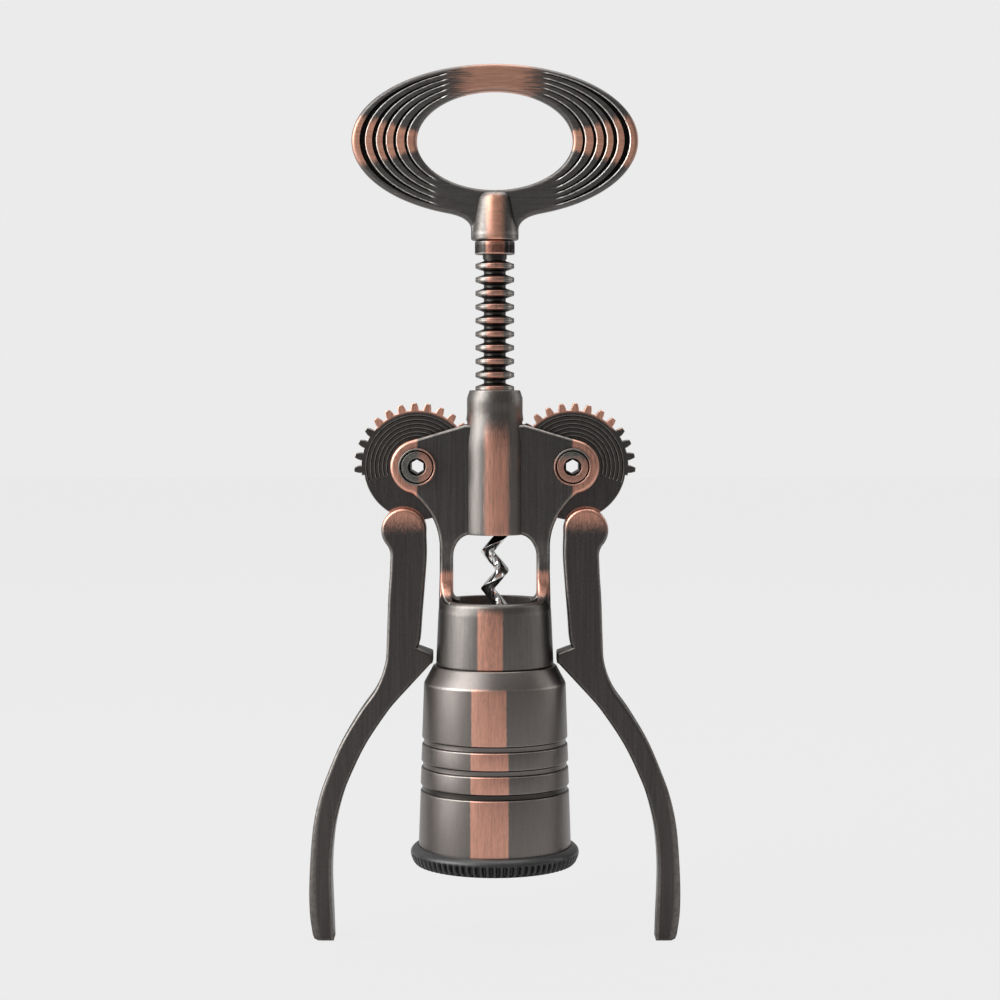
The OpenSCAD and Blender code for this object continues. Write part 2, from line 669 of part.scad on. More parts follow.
// The neck of the ring's plate, which narrows down to the hub's lower face
module neck_outline() {
    start_x = hub_bottom_r * 2;
    neck_h = ring_bottom_z - hub_bottom_z;
    start = [start_x, ring_z - ring_half_h * sqrt(1 - pow(start_x / ring_half_w, 2))];
    turn = [hub_bottom_r, ring_bottom_z];
    end = [hub_bottom_r, hub_bottom_z + neck_h * 0.45];
    side = [for (i = [0 : 8]) bend(start, turn, end, i / 8)];
    polygon(concat(
        [[0, start[1] + edge], start + [0, edge]], side,
        [[hub_bottom_r, hub_bottom_z + edge], [hub_bottom_r - edge, hub_bottom_z], [0, hub_bottom_z]]));
}

module handle() {
    color(copper) difference() {
        union() {
            difference() {
                translate([0, 0, ring_z]) plate(ring_t) ring_outline();
                for (side = [-1, 1]) translate([0, side * ring_t / 2, ring_z]) plate(2 * ring_groove_depth)
                    for (k = [0 : ring_grooves - 1]) ring_groove(k);
            }
            for (side = [0, 1]) mirror([side, 0, 0]) plate(ring_t) neck_outline();
            hub();
        }
        translate([0, 0, hub_bottom_z - over])
            cylinder(h = tenon_l + over + seam, r = rack_neck_r + fit_gap);
        translate([0, 0, handle_pin_z]) rotate([0, 0, 90])
            rod(handle_pin_r + fit_gap, -hub_bottom_r - over, 2 * (hub_bottom_r + over));
    }
}

frame();
bell();
base_ring();
neck_guide();
left_pivot() pivot_screw();  // left_pivot_screw
right_pivot() pivot_screw();  // right_pivot_screw
left_pivot() pivot_nut();  // left_pivot_nut
right_pivot() pivot_nut();  // right_pivot_nut
left_pivot() thrust_washers();  // left_thrust_washers
right_pivot() thrust_washers();  // right_thrust_washers
shaft_collar();
handle();
rack_shaft();
worm();
handle_pin();
worm_pin();
left_wing();
right_wing();
left_pivot() gear_bush();  // left_gear_bush
right_pivot() gear_bush();  // right_gear_bush
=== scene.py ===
"""Wing corkscrew: fine meshes, finishes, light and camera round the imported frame."""

import logging
import math
from dataclasses import dataclass, replace
from enum import Enum
from functools import partial, reduce

import bmesh
import bpy
import numpy as np
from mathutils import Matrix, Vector, geometry


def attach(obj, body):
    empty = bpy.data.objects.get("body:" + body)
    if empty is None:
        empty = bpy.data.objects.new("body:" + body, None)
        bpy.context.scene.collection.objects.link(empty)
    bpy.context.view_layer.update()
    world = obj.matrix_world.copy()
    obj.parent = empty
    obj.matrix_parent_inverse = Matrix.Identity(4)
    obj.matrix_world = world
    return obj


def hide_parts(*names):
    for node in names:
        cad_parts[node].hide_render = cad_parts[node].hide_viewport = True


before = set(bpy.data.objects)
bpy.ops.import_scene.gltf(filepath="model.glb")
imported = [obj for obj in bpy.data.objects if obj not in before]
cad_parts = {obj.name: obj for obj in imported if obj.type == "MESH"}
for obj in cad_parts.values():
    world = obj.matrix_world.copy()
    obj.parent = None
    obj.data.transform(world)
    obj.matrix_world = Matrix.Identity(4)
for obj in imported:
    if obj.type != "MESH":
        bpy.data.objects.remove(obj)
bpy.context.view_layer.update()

log = logging.getLogger("corkscrew")

MM = 0.001
FULL_TURN = 2 * math.pi
QUARTER_TURN = math.pi / 2
MERGE_MM = 0.0015
TINY = 1e-12
SHARP_ANGLE = math.radians(38)
FAR_MM = 1e6
SIDE_SHARE = 0.46
MARKS = ("wear_and_glint", "deep", "turned_sheen")

Pair = tuple[float, float]
Place = tuple[float, float, float]
# Points with their worn marks and their deep marks
Marked = tuple[np.ndarray, np.ndarray, np.ndarray]


class Body(Enum):
    """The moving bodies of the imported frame."""

    FRAME = "frame"
    CARRIER = "carrier"
    SPINDLE = "spindle"
    LEFT_WING = "left_wing"
    RIGHT_WING = "right_wing"


class Side(Enum):
    """Left or right of the worm's axis, as the sign of X."""

    LEFT = -1
    RIGHT = 1


# Shapes as whole arrays


def unit(rows: np.ndarray) -> np.ndarray:
    """Each row divided by its own length.

    Args:
        rows: vectors, one in each row.

    Returns:
        The rows at length one.
    """
    return rows / np.maximum(np.linalg.norm(rows, axis=-1, keepdims=True), TINY)


def ramp(value: np.ndarray, low: float, high: float) -> np.ndarray:
    """A smooth step: 3t^2 - 2t^3, with t running from 0 at low to 1 at high."""
    t = np.clip((np.asarray(value, float) - low) / (high - low), 0, 1)
    return t * t * (3 - 2 * t)


def arc(centre: Pair, radius: float, start: float, end: float, steps: int) -> np.ndarray:
    """Points of a circle: centre plus radius times the cosine and sine of an evenly stepped angle.

    Args:
        centre: the circle's centre.
        radius: its radius.
        start: first angle in degrees.
        end: last angle in degrees.
        steps: number of equal steps.

    Returns:
        steps + 1 points.
    """
    angle = np.radians(np.linspace(start, end, steps + 1))
    return np.asarray(centre) + radius * np.stack([np.cos(angle), np.sin(angle)], 1)


def spline(points: np.ndarray, steps: int) -> np.ndarray:
    """A curve through all points: on each span the cubic whose end slopes are half the neighbours' distance.

    Args:
        points: the knots, one in each row.
        steps: points on each span.

    Returns:
        The curve's points, with the last knot.
    """
    p = np.asarray(points, float)
    padded = np.concatenate([p[:1], p, p[-1:]])
    a, b, c, d = padded[:-3, None], padded[1:-2, None], padded[2:-1, None], padded[3:, None]
    t = (np.arange(steps) / steps)[None, :, None]
    rows = 0.5 * (2 * b + (c - a) * t + (2 * a - 5 * b + 4 * c - d) * t**2 + (3 * b - a - 3 * c + d) * t**3)
    return np.concatenate([rows.reshape(-1, p.shape[1]), p[-1:]])


def bend(start: np.ndarray, turn: np.ndarray, end: np.ndarray, steps: int) -> np.ndarray:
    """A quadratic curve from start to end that leaves and arrives along the lines to turn."""
    t = np.linspace(0, 1, steps + 1)[:, None]
    return (1 - t) ** 2 * np.asarray(start) + 2 * t * (1 - t) * np.asarray(turn) + t**2 * np.asarray(end)


def refined(outline: np.ndarray, spacing: float) -> np.ndarray:
    """A closed outline with points added along its long sides, evenly along its length.

    Args:
        outline: closed outline, one point in each row.
        spacing: largest distance between two points in millimetres.

    Returns:
        The outline's own points with the added ones between them.
    """
    p = np.asarray(outline, float)
    ahead = np.roll(p, -1, 0)
    length = np.linalg.norm(ahead - p, axis=1)
    counts = np.maximum(1, np.ceil(length / spacing).astype(int))
    index = np.repeat(np.arange(len(p)), counts)
    first = np.repeat(np.cumsum(counts) - counts, counts)
    share = (np.arange(len(index)) - first) / counts[index]
    return p[index] + (ahead - p)[index] * share[:, None]


def inward(outline: np.ndarray) -> np.ndarray:
    """For each point of a counter-clockwise outline, the step that moves both its sides inwards by one.

    The two sides' inward normals m and n give (m + n) / (1 + m.n), held in at very sharp corners.

    Args:
        outline: closed counter-clockwise outline.

    Returns:
        One step for each point.
    """
    back = unit(outline - np.roll(outline, 1, 0))
    ahead = np.roll(back, -1, 0)
    m = np.stack([-back[:, 1], back[:, 0]], 1)
    n = np.stack([-ahead[:, 1], ahead[:, 0]], 1)
    return (m + n) / np.maximum(1 + np.sum(m * n, 1, keepdims=True), 0.5)


def softened(points: list, radius: float | list[float], steps: int = 5, closed: bool = True) -> Marked:
    """An outline whose corners are replaced by quadratic curves, with marks for edges and hollows.

    Each curve starts and ends at most radius away from its corner, and less where a side is short. Its corner is
    the curve's control point. Outward corners get the edge mark, for rubbed wear and a painted highlight, and
    inward ones the deep mark, painted shade in the crease, most at the curve's middle.

    Args:
        points: counter-clockwise outline.
        radius: cut length in millimetres, one for all corners or one for each.
        steps: steps on each curve.
        closed: whether the last point joins the first.

    Returns:
        The points, the worn marks and the deep marks.
    """
    p = np.asarray(points, float)
    back, ahead = np.roll(p, 1, 0) - p, np.roll(p, -1, 0) - p
    back_l = np.linalg.norm(back, axis=1, keepdims=True)
    ahead_l = np.linalg.norm(ahead, axis=1, keepdims=True)
    cut = np.minimum(np.broadcast_to(radius, len(p))[:, None], SIDE_SHARE * np.minimum(back_l, ahead_l))
    if not closed:
        cut[[0, -1]] = 0
    start, end = p + back / back_l * cut, p + ahead / ahead_l * cut
    t = np.linspace(0, 1, steps + 1)[None, :, None]
    rows = (1 - t) ** 2 * start[:, None] + 2 * t * (1 - t) * p[:, None] + t**2 * end[:, None]
    turn = back[:, 0] * ahead[:, 1] - back[:, 1] * ahead[:, 0]
    swell = np.sin(np.pi * t[:, :, 0]) * (cut > 0)
    wear_and_glint, deep = (np.where(sense * turn[:, None] > 0, swell, 0).ravel() for sense in (-1, 1))
    return rows.reshape(-1, 2), wear_and_glint, deep


@dataclass
class Shell:
    """A closed surface in millimetres, with a mark for bright edges and one for hollows on each vertex.

    Attributes:
        points: one vertex in each row.
        faces: groups of faces, each an array with three or four columns.
        wear_and_glint: 0 on plain surface to 1 on an edge painted bright: rubbed wear and a painted highlight.
        deep: 0 on plain surface to 1 in a hollow, crease or bore, painted dark as painted shade.
        turned_sheen: 0 on a dark flat face to 1 on a turned one, which is lighter: partly a smoother finish, partly
            painted sheen.
    """

    points: np.ndarray
    faces: list[np.ndarray]
    wear_and_glint: float | np.ndarray = 0.0
    deep: float | np.ndarray = 0.0
    turned_sheen: float | np.ndarray = 0.0

    def placed(self, matrix: np.ndarray, shift: Place = (0, 0, 0)) -> "Shell":
        """The shell with its points multiplied by a matrix and moved, and its faces turned round by a mirror.

        Args:
            matrix: three by three, a turn or a mirror.
            shift: the move in millimetres.

        Returns:
            The new shell.
        """
        sense = -1 if np.linalg.det(matrix) < 0 else 1
        return replace(self, points=self.points @ np.asarray(matrix, float).T + np.asarray(shift),
                       faces=[group[:, ::sense] for group in self.faces])

    def outward(self) -> "Shell":
        """The shell with its faces outwards: they are turned round where the volume that they enclose is negative.

        The volume is a sixth of the sum of a.(b x c) over the triangles a, b, c that fan out in each face.

        Returns:
            The shell itself or a turned copy.
        """
        corners = [self.points[group] for group in self.faces]
        volume = sum((c[:, 0] * np.cross(c[:, k], c[:, k + 1])).sum() for c in corners
                     for k in range(1, c.shape[1] - 1))
        return self if volume > 0 else replace(self, faces=[group[:, ::-1] for group in self.faces])

    def toned(self, turned_sheen: float) -> "Shell":
        """The shell with another fair mark."""
        return replace(self, turned_sheen=turned_sheen)


SAME = np.eye(3)
MIRROR_X = np.diag([-1, 1, 1])
MIRROR_Y = np.diag([1, -1, 1])
AXIS_TO_Y = SAME[[0, 2, 1]]


def joined(shells: list[Shell]) -> Shell:
    """All shells as one, each still closed by itself.

    Args:
        shells: the shells.

    Returns:
        One shell.
    """
    starts = np.cumsum([0] + [len(s.points) for s in shells[:-1]])
    faces = [group + start for s, start in zip(shells, starts) for group in s.faces]
    marks = [np.concatenate([np.broadcast_to(getattr(s, label), len(s.points)) for s in shells]) for label in MARKS]
    return Shell(np.concatenate([s.points for s in shells]), faces, *marks)


def grid_faces(rows: int, columns: int, close_rows: bool, close_columns: bool) -> np.ndarray:
    """The quads of a grid of points that is numbered row by row.

    Args:
        rows: number of rows.
        columns: points in a row.
        close_rows: whether the last row joins the first.
        close_columns: whether the last column joins the first.

    Returns:
        One quad in each row.
    """
    i = np.arange(rows if close_rows else rows - 1)[:, None]
    j = np.arange(columns if close_columns else columns - 1)[None, :]
    i_next, j_next = (i + 1) % rows, (j + 1) % columns
    quads = [i * columns + j, i * columns + j_next, i_next * columns + j_next, i_next * columns + j]
    return np.stack([np.broadcast_to(q, (i.shape[0], j.shape[1])).ravel() for q in quads], 1)


def revolved(radii: np.ndarray, heights: np.ndarray, wear_and_glint: np.ndarray, deep: np.ndarray,
             closed: bool = True) -> Shell:
    """A turned surface whose radius and height may change round the circle: (r cos a, r sin a, z).

    Args:
        radii: one row for each profile point, one column for each angle.
        heights: likewise, or one column.
        wear_and_glint: worn mark of each profile point, or of each point.
        deep: deep mark, likewise.
        closed: whether the last row joins the first; otherwise both lie on the axis or meet another shell.

    Returns:
        The shell, round Z.
    """
    rows, columns = radii.shape
    angle = np.arange(columns) * FULL_TURN / columns
    points = np.stack([radii * np.cos(angle), radii * np.sin(angle), heights + 0 * radii], 2).reshape(-1, 3)
    marks = [np.broadcast_to(m[:, None] if m.ndim == 1 else m, radii.shape).ravel() for m in (wear_and_glint, deep)]
    return Shell(points, [grid_faces(rows, columns, closed, True)], *marks).outward()


def turned(profile: Marked, segments: int = 128, closed: bool = True) -> Shell:
    """A profile turned round Z: each point (r, z) runs round its own circle.

    Args:
        profile: points (r, z), their worn marks and their deep marks.
        segments: points round the circle.
        closed: whether the profile's last point joins its first; otherwise both lie on the axis.

    Returns:
        The closed shell.
    """
    points, wear_and_glint, deep = profile
    return revolved(np.repeat(points[:, :1], segments, 1), points[:, 1:], wear_and_glint, deep, closed)


def swept(sections: np.ndarray, wear_and_glint: np.ndarray) -> Shell:
    """A bar with one closed section after the other, and a flat face at each end.

    Args:
        sections: rows of section points.
        wear_and_glint: worn mark of each point of a section.

    Returns:
        The closed shell.
    """
    rows, columns = sections.shape[:2]
    ends = np.stack([np.arange(columns)[::-1], np.arange(columns) + (rows - 1) * columns])
    return Shell(sections.reshape(-1, 3), [grid_faces(rows, columns, False, True), ends],
                 np.broadcast_to(wear_and_glint, (rows, columns)).ravel()).outward()


def circle(centre: Pair, radius: float, segments: int) -> np.ndarray:
    """A closed clockwise circle of evenly spaced points, for a hole."""
    return arc(centre, radius, 0, 360, segments)[:-1][::-1]


def inside(points: np.ndarray, outline: np.ndarray) -> np.ndarray:
    """Whether points lie in a closed outline, by counting the sides that a ray to the right crosses.

    Args:
        points: the points to test.
        outline: the closed outline.

    Returns:
        True for each point inside.
    """
    x, y = points[:, :1], points[:, 1:]
    a, b = outline, np.roll(outline, -1, 0)
    spans = (a[:, 1] > y) != (b[:, 1] > y)
    rise = np.where(b[:, 1] == a[:, 1], TINY, b[:, 1] - a[:, 1])
    return (spans & (x < (b[:, 0] - a[:, 0]) * (y - a[:, 1]) / rise + a[:, 0])).sum(1) % 2 == 1


def filled(loops: list[np.ndarray]) -> tuple[np.ndarray, np.ndarray]:
    """Triangles that fill the first loop but not the others.

    Args:
        loops: closed loops in the plane, the outer one first.

    Returns:
        The points of all loops, one after the other, and the triangles that join them.
    """
    points = np.concatenate(loops)
    starts = np.cumsum([0] + [len(loop) for loop in loops])
    edges = np.concatenate([
        np.stack([np.arange(len(loop)), np.roll(np.arange(len(loop)), -1)], 1) + start
        for loop, start in zip(loops, starts)])
    made = geometry.delaunay_2d_cdt([Vector(p) for p in points.tolist()], edges.tolist(), [], 1, 1e-7)
    if not all(made[3]):
        log.warning("an inner outline of %d points crosses itself", len(points))
    source = np.array([origin[0] if origin else np.argmin(np.linalg.norm(points - np.array(spot), axis=1))
                       for origin, spot in zip(made[3], made[0])])
    triangles = source[np.array(made[2])]
    middle = points[triangles].mean(1)
    keep = inside(middle, loops[0])
    for hole in loops[1:]:
        keep &= ~inside(middle, hole)
    return points, triangles[keep]


@dataclass(frozen=True)
class Rim:
    """The rounding of a plate's edge.

    Attributes:
        reach: width of the rounding on the plate's face in millimetres, one value or one for each point.
        drop: its depth along the plate's edge.
        steps: steps round it.
        wear_and_glint: how bright its middle is painted, from 0 to 1: rubbed wear and a painted highlight.
    """

    reach: float | np.ndarray
    drop: float
    steps: int = 5
    wear_and_glint: float = 1.0

    def rows(self) -> Marked:
        """Shares of reach, shares of drop and worn marks, from the face out to the plate's side."""
        angle = np.linspace(QUARTER_TURN, 0, self.steps + 1)
        return 1 - np.cos(angle), 1 - np.sin(angle), self.wear_and_glint * np.sin(2 * angle) ** 0.5


def untangled(ring: np.ndarray, outline: np.ndarray) -> np.ndarray:
    """A drawn-in outline whose turned-round edges are drawn together.

    Where an outline bends more tightly than it is drawn in, its inner edges run backwards. Each run of such
    edges becomes one place: the mean of its points, in which a corner's own point weighs most.

    Args:
        ring: points (x, y, z) of the drawn-in outline.
        outline: the outline in X and Z that it was drawn in from.

    Returns:
        The points, as many as before.
    """
    power, rounds = 8, 12
    ahead = np.roll(outline, -1, 0) - outline
    weight = np.linalg.norm(ring[:, [0, 2]] - outline, axis=1) ** power + TINY
    tied, made = np.zeros(len(ring), bool), ring
    for _ in range(rounds):
        edge = (np.roll(made, -1, 0) - made)[:, [0, 2]]
        tied |= (edge * ahead).sum(1) < -1e-9
        run = np.concatenate([[0], np.cumsum(~tied[:-1])])
        run = np.where(tied[-1] & (run == run[-1]), 0, run)
        total = np.maximum(np.bincount(run, weight), TINY)
        made = np.stack([np.bincount(run, weight * ring[:, k]) / total for k in range(3)], 1)[run]
    return made


def plate(outline: np.ndarray, front: float | np.ndarray, back: float | np.ndarray, front_rim: Rim,
          back_rim: Rim, holes: tuple[np.ndarray, ...] = (), margin: float = 0.25, lined: bool = True) -> Shell:
    """A flat piece with rounded edges: its outline in X and Z, drawn in step by step at both faces.

    The rounding is a quarter of an ellipse, reach wide and drop deep. Inside it both faces are flat.

    Args:
        outline: counter-clockwise outline, seen from the front.
        front: Y of the front face, one value or one for each point of the outline.
        back: Y of the rear face, likewise.
        front_rim: rounding of the front edge.
        back_rim: rounding of the rear edge.
        holes: clockwise outlines of holes, which have sharp edges.
        margin: width of the flat ring next to each rounding.
        lined: whether the holes have walls; a piece that fits a hole closes it otherwise.

    Returns:
        The closed shell.
    """
    step = inward(outline)
    rings, wear_and_glint = [], []
    for rim, face, sense in ((front_rim, front, 1), (back_rim, back, -1)):
        width, level = (np.broadcast_to(value, len(outline)) for value in (rim.reach, face))
        side = [(1.0, margin, 0.0, 0.0)] + [(reach, 0.0, drop, mark) for reach, drop, mark in zip(*rim.rows())]
        for share, more, fall, mark in side[::sense]:
            flat = outline + step * (share * width + more)[:, None]
            ring = np.stack([flat[:, 0], level + sense * rim.drop * fall, flat[:, 1]], 1)
            rings.append(untangled(ring, outline))
            wear_and_glint.append(np.full(len(outline), mark))
    parts = [Shell(np.concatenate(rings), [grid_faces(len(rings), len(outline), False, True)[:, ::-1]],
                   np.concatenate(wear_and_glint))]
    hole_levels = (float(np.min(front)), float(np.max(back)))
    for ring, level, flip in ((rings[0], hole_levels[0], False), (rings[-1], hole_levels[1], True)):
        flat, triangles = filled([ring[:, [0, 2]], *holes])
        heights = np.concatenate([ring[:, 1]] + [np.full(len(h), level) for h in holes])
        points = np.stack([flat[:, 0], heights, flat[:, 1]], 1)
        parts.append(Shell(points, [triangles[:, ::-1] if flip else triangles]))
    for hole in holes if lined else ():
        points = np.concatenate([np.insert(hole, 1, y, 1) for y in hole_levels])
        parts.append(Shell(points, [grid_faces(2, len(hole), False, True)[:, ::-1]]))
    return joined(parts).outward()


def to_object(name: str, shell: Shell) -> bpy.types.Object:
    """A mesh object in metres, smooth between sharp edges, with doubles merged and stray points left out.

    Args:
        name: the object's name.
        shell: its surface in millimetres.

    Returns:
        The object, linked to the scene, at the origin.
    """
    mesh = bpy.data.meshes.new(name)
    faces = [face for group in shell.faces for face in group.tolist()]
    mesh.from_pydata((shell.points * MM).tolist(), [], faces)
    for label in MARKS:
        values = np.broadcast_to(getattr(shell, label), len(shell.points))
        layer = mesh.attributes.new(label, "FLOAT", "POINT")
        layer.data.foreach_set("value", np.clip(values, 0, 1).astype(np.float32))
    cleaner = bmesh.new()
    cleaner.from_mesh(mesh)
    bmesh.ops.remove_doubles(cleaner, verts=cleaner.verts, dist=MERGE_MM * MM)
    bmesh.ops.dissolve_degenerate(cleaner, edges=cleaner.edges, dist=MERGE_MM * MM / 4)
    stray = [vertex for vertex in cleaner.verts if not vertex.link_faces]
    bmesh.ops.delete(cleaner, geom=stray, context="VERTS")
    cleaner.to_mesh(mesh)
    cleaner.free()
    mesh.polygons.foreach_set("use_smooth", np.ones(len(mesh.polygons), bool))
    mesh.set_sharp_from_angle(angle=SHARP_ANGLE)
    thing = bpy.data.objects.new(name, mesh)
    bpy.context.scene.collection.objects.link(thing)
    return thing


def add_piece(name: str, shell: Shell, body: Body, slot: str, material: bpy.types.Material, *nodes: str) -> None:
    """Makes a piece, dresses it and hands it to the body that carries it.

    Args:
        name: the piece's name.
        shell: its surface.
        body: the body that it moves with.
        slot: the record's material slot; not used.
        material: its finish.
        nodes: the nodes that it stands for.
    """
    piece = to_object(name, shell)
    piece.data.materials.append(material)
    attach(piece, body.value)
    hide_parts(*nodes)
    log.info("%s: %d faces on %s", name, len(piece.data.polygons), body.value)


# Finishes

Colour = tuple[float, float, float, float]
Socket = bpy.types.NodeSocket
Value = Socket | float | tuple[float, ...]
FLOAT = "NodeSocketFloat"
VECTOR = "NodeSocketVector"
# Shares of a colour: copper between brush marks, brighter copper on an edge, how far painted shade takes a hollow to
# black
BRUSHED_SHARE, SHINE_SHARE, HOLLOW_SHADE_SHARE = 0.62, 1.35, 0.85


def metres(*values: float) -> tuple[float, ...]:
    """Millimetres as metres."""
    return tuple(value * MM for value in values)


def rgb(red: float, green: float, blue: float) -> Colour:
    """A colour from linear values."""
    return (red, green, blue, 1)


def tinted(colour: Colour, share: float) -> Colour:
    """A colour made darker or lighter by a share."""
    return rgb(*(min(1.0, share * c) for c in colour[:3]))


class Graph:
    """A node tree with short calls for the nodes that the finishes use."""

    def __init__(self, tree: bpy.types.NodeTree) -> None:
        """Keeps the tree."""
        self.tree = tree

    def feed(self, node: bpy.types.Node, inputs: dict[str | int, Value]) -> None:
        """Sets a node's inputs to values or links them to sockets.

        Args:
            node: the node.
            inputs: values or sockets by input name or number.
        """
        for key, value in inputs.items():
            if isinstance(value, Socket):
                self.tree.links.new(value, node.inputs[key])
            else:
                node.inputs[key].default_value = value

    def add(self, kind: str, inputs: dict[str | int, Value] | None = None, **options: object) -> bpy.types.Node:
        """Adds a node.

        Args:
            kind: the node's type.
            inputs: values or sockets by input name or number.
            options: the node's own settings.

        Returns:
            The node.
        """
        made = self.tree.nodes.new(kind)
        for key, value in options.items():
            setattr(made, key, value)
        self.feed(made, inputs or {})
        return made

    def group(self, tree: bpy.types.NodeTree, **inputs: Value) -> bpy.types.bpy_prop_collection:
        """The outputs of a shared effect that is fed by name."""
        return self.add("ShaderNodeGroup", inputs, node_tree=tree).outputs

    def math(self, operation: str, *values: Value, clamp: bool = False) -> Socket:
        """The result of a math node on one to three values or sockets."""
        return self.add("ShaderNodeMath", dict(enumerate(values)), operation=operation, use_clamp=clamp).outputs[0]

    def times(self, first: Value, second: Value) -> Socket:
        """Two values or sockets multiplied."""
        return self.math("MULTIPLY", first, second)

    def vector(self, operation: str, *values: Value) -> Socket:
        """The result of a vector math node on its values or sockets."""
        return self.add("ShaderNodeVectorMath", dict(enumerate(values)), operation=operation).outputs[0]

    def mix(self, share: Value, first: Value, second: Value) -> Socket:
        """Two colours mixed by a share."""
        return self.add("ShaderNodeMix", {0: share, 6: first, 7: second}, data_type="RGBA").outputs[2]

    def span(self, value: Value, low: float, high: float, to_low: float = 0.0, to_high: float = 1.0,
             smooth: bool = True) -> Socket:
        """A value carried from one range to another, with soft ends."""
        return self.add("ShaderNodeMapRange", {0: value, 1: low, 2: high, 3: to_low, 4: to_high},
                        interpolation_type="SMOOTHSTEP" if smooth else "LINEAR").outputs[0]

    def noise(self, place: Value, seed: Value, scale: Value, detail: float,
              roughness: float = 0.5) -> bpy.types.Node:
        """A noise in four dimensions, the fourth being the seed."""
        return self.add("ShaderNodeTexNoise", {"Vector": place, "W": seed, "Scale": scale, "Detail": detail,
                                               "Roughness": roughness}, noise_dimensions="4D")

    def place(self) -> Socket:
        """The place on the object."""
        return self.add("ShaderNodeTexCoord").outputs["Object"]

    def mark(self, label: str) -> Socket:
        """One of the mesh's own marks."""
        return self.add("ShaderNodeAttribute", attribute_name=label).outputs["Fac"]

    def surface(self, colour: Socket, metallic: float, rough: Socket, height: Socket, bump: float) -> None:
        """Ends the material in a shader.

        Args:
            colour: its colour.
            metallic: 0 for plastic to 1 for metal.
            rough: its roughness.
            height: the relief from 0 to 1.
            bump: the relief's height in millimetres.
        """
        relief = self.add("ShaderNodeBump", {"Strength": 1.0, "Distance": bump * MM, "Height": height})
        shader = self.add("ShaderNodeBsdfPrincipled", {
            "Base Color": colour, "Metallic": metallic, "Roughness": rough, "Normal": relief.outputs[0]})
        self.add("ShaderNodeOutputMaterial", {"Surface": shader.outputs[0]})


def graph_of(owner: bpy.types.Material | bpy.types.World) -> Graph:
    """The emptied node tree of a material or world.

    Args:
        owner: the material or world.

    Returns:
        Its graph.
    """
    owner.use_nodes = True
    owner.node_tree.nodes.clear()
    return Graph(owner.node_tree)


def new_group(name: str, inputs: dict[str, str], outputs: dict[str, str]) -> tuple[
        Graph, bpy.types.bpy_prop_collection, bpy.types.Node]:
    """An empty shader node group with named sockets.

    Args:
        name: the group's name.
        inputs: socket types by input name.
        outputs: socket types by output name.

    Returns:
        The group's graph, the sockets that it is given and its output node.
    """
    tree = bpy.data.node_groups.new(name, "ShaderNodeTree")
    for sense, sockets in (("INPUT", inputs), ("OUTPUT", outputs)):
        for label, kind in sockets.items():
            tree.interface.new_socket(name=label, in_out=sense, socket_type=kind)
    graph = Graph(tree)
    return graph, graph.add("NodeGroupInput").outputs, graph.add("NodeGroupOutput")


def brush_marks_group() -> bpy.types.NodeTree:
    """Brush marks: noise drawn out along one direction, coarse and fine together.

    The place is divided by a width across and a length along the marks before the noise reads it.

    Returns:
        The group.
    """
    graph, given, result = new_group(
        "brush_marks", {"Place": VECTOR, "Size": VECTOR, "Seed": FLOAT}, {"Broad": FLOAT, "Fine": FLOAT})
    scaled = graph.vector("DIVIDE", given["Place"], given["Size"])
    broad = graph.noise(scaled, given["Seed"], 0.35, 3.0, 0.6)
    fine = graph.noise(scaled, given["Seed"], 1.3, 2.0, 0.7)
    graph.feed(result, {"Broad": graph.span(broad.outputs[0], 0.3, 0.7),
                        "Fine": graph.span(fine.outputs[0], 0.28, 0.72)})
    return graph.tree


def rubbed_patch_group() -> bpy.types.NodeTree:
    """A box-shaped patch with ragged ends: soft steps multiplied, on a place that noise shifts.

    The shift across comes from slow noise and the shift along from noise that is fine across the marks.

    Returns:
        The group.
    """
    graph, given, result = new_group(
        "rubbed_patch", {"Place": VECTOR, "Low": VECTOR, "High": VECTOR, "Soft": VECTOR, "Ragged": VECTOR,
                         "Grain": VECTOR, "Seed": FLOAT}, {"Mask": FLOAT})
    noise = graph.noise(graph.vector("DIVIDE", given["Place"], given["Grain"]), given["Seed"], 1.0, 4.0, 0.65)
    centred = graph.vector("SUBTRACT", noise.outputs["Color"], (0.5, 0.5, 0.5))
    moved = graph.vector("ADD", given["Place"], graph.vector("MULTIPLY", centred, given["Ragged"]))
    steps = []
    for ahead, behind in ((moved, given["Low"]), (given["High"], moved)):
        share = graph.vector("DIVIDE", graph.vector("SUBTRACT", ahead, behind), given["Soft"])
        steps += [graph.span(axis, -0.5, 0.5) for axis in graph.add("ShaderNodeSeparateXYZ", {0: share}).outputs]
    graph.feed(result, {"Mask": reduce(graph.times, steps)})
    return graph.tree


def edge_wear_and_glint_group() -> bpy.types.NodeTree:
    """Bright edges of wear and painted highlight: the mesh's own edge mark, thinned by fine noise.

    Returns:
        The group.
    """
    graph, given, result = new_group("edge_wear_and_glint", {"Mark": FLOAT, "Place": VECTOR, "Seed": FLOAT}, {"Mask": FLOAT})
    noise = graph.noise(given["Place"], given["Seed"], 900.0, 3.0)
    thin = graph.span(noise.outputs[0], 0.25, 0.6, 0.35, 1.0)
    graph.feed(result, {"Mask": graph.times(graph.span(given["Mark"], 0.05, 0.75), thin)})
    return graph.tree


def speckle_group() -> bpy.types.NodeTree:
    """Fine speckle of a cast or plated surface: two noises of different grain, one for colour, one for height.

    Returns:
        The group.
    """
    graph, given, result = new_group("speckle", {"Place": VECTOR, "Scale": FLOAT, "Seed": FLOAT},
                                     {"Tone": FLOAT, "Height": FLOAT})
    tone = graph.noise(given["Place"], given["Seed"], given["Scale"], 5.0, 0.7)
    height = graph.noise(given["Place"], given["Seed"], graph.times(given["Scale"], 2.7), 2.0)
    graph.feed(result, {"Tone": graph.span(tone.outputs[0], 0.3, 0.7), "Height": height.outputs[0]})
    return graph.tree


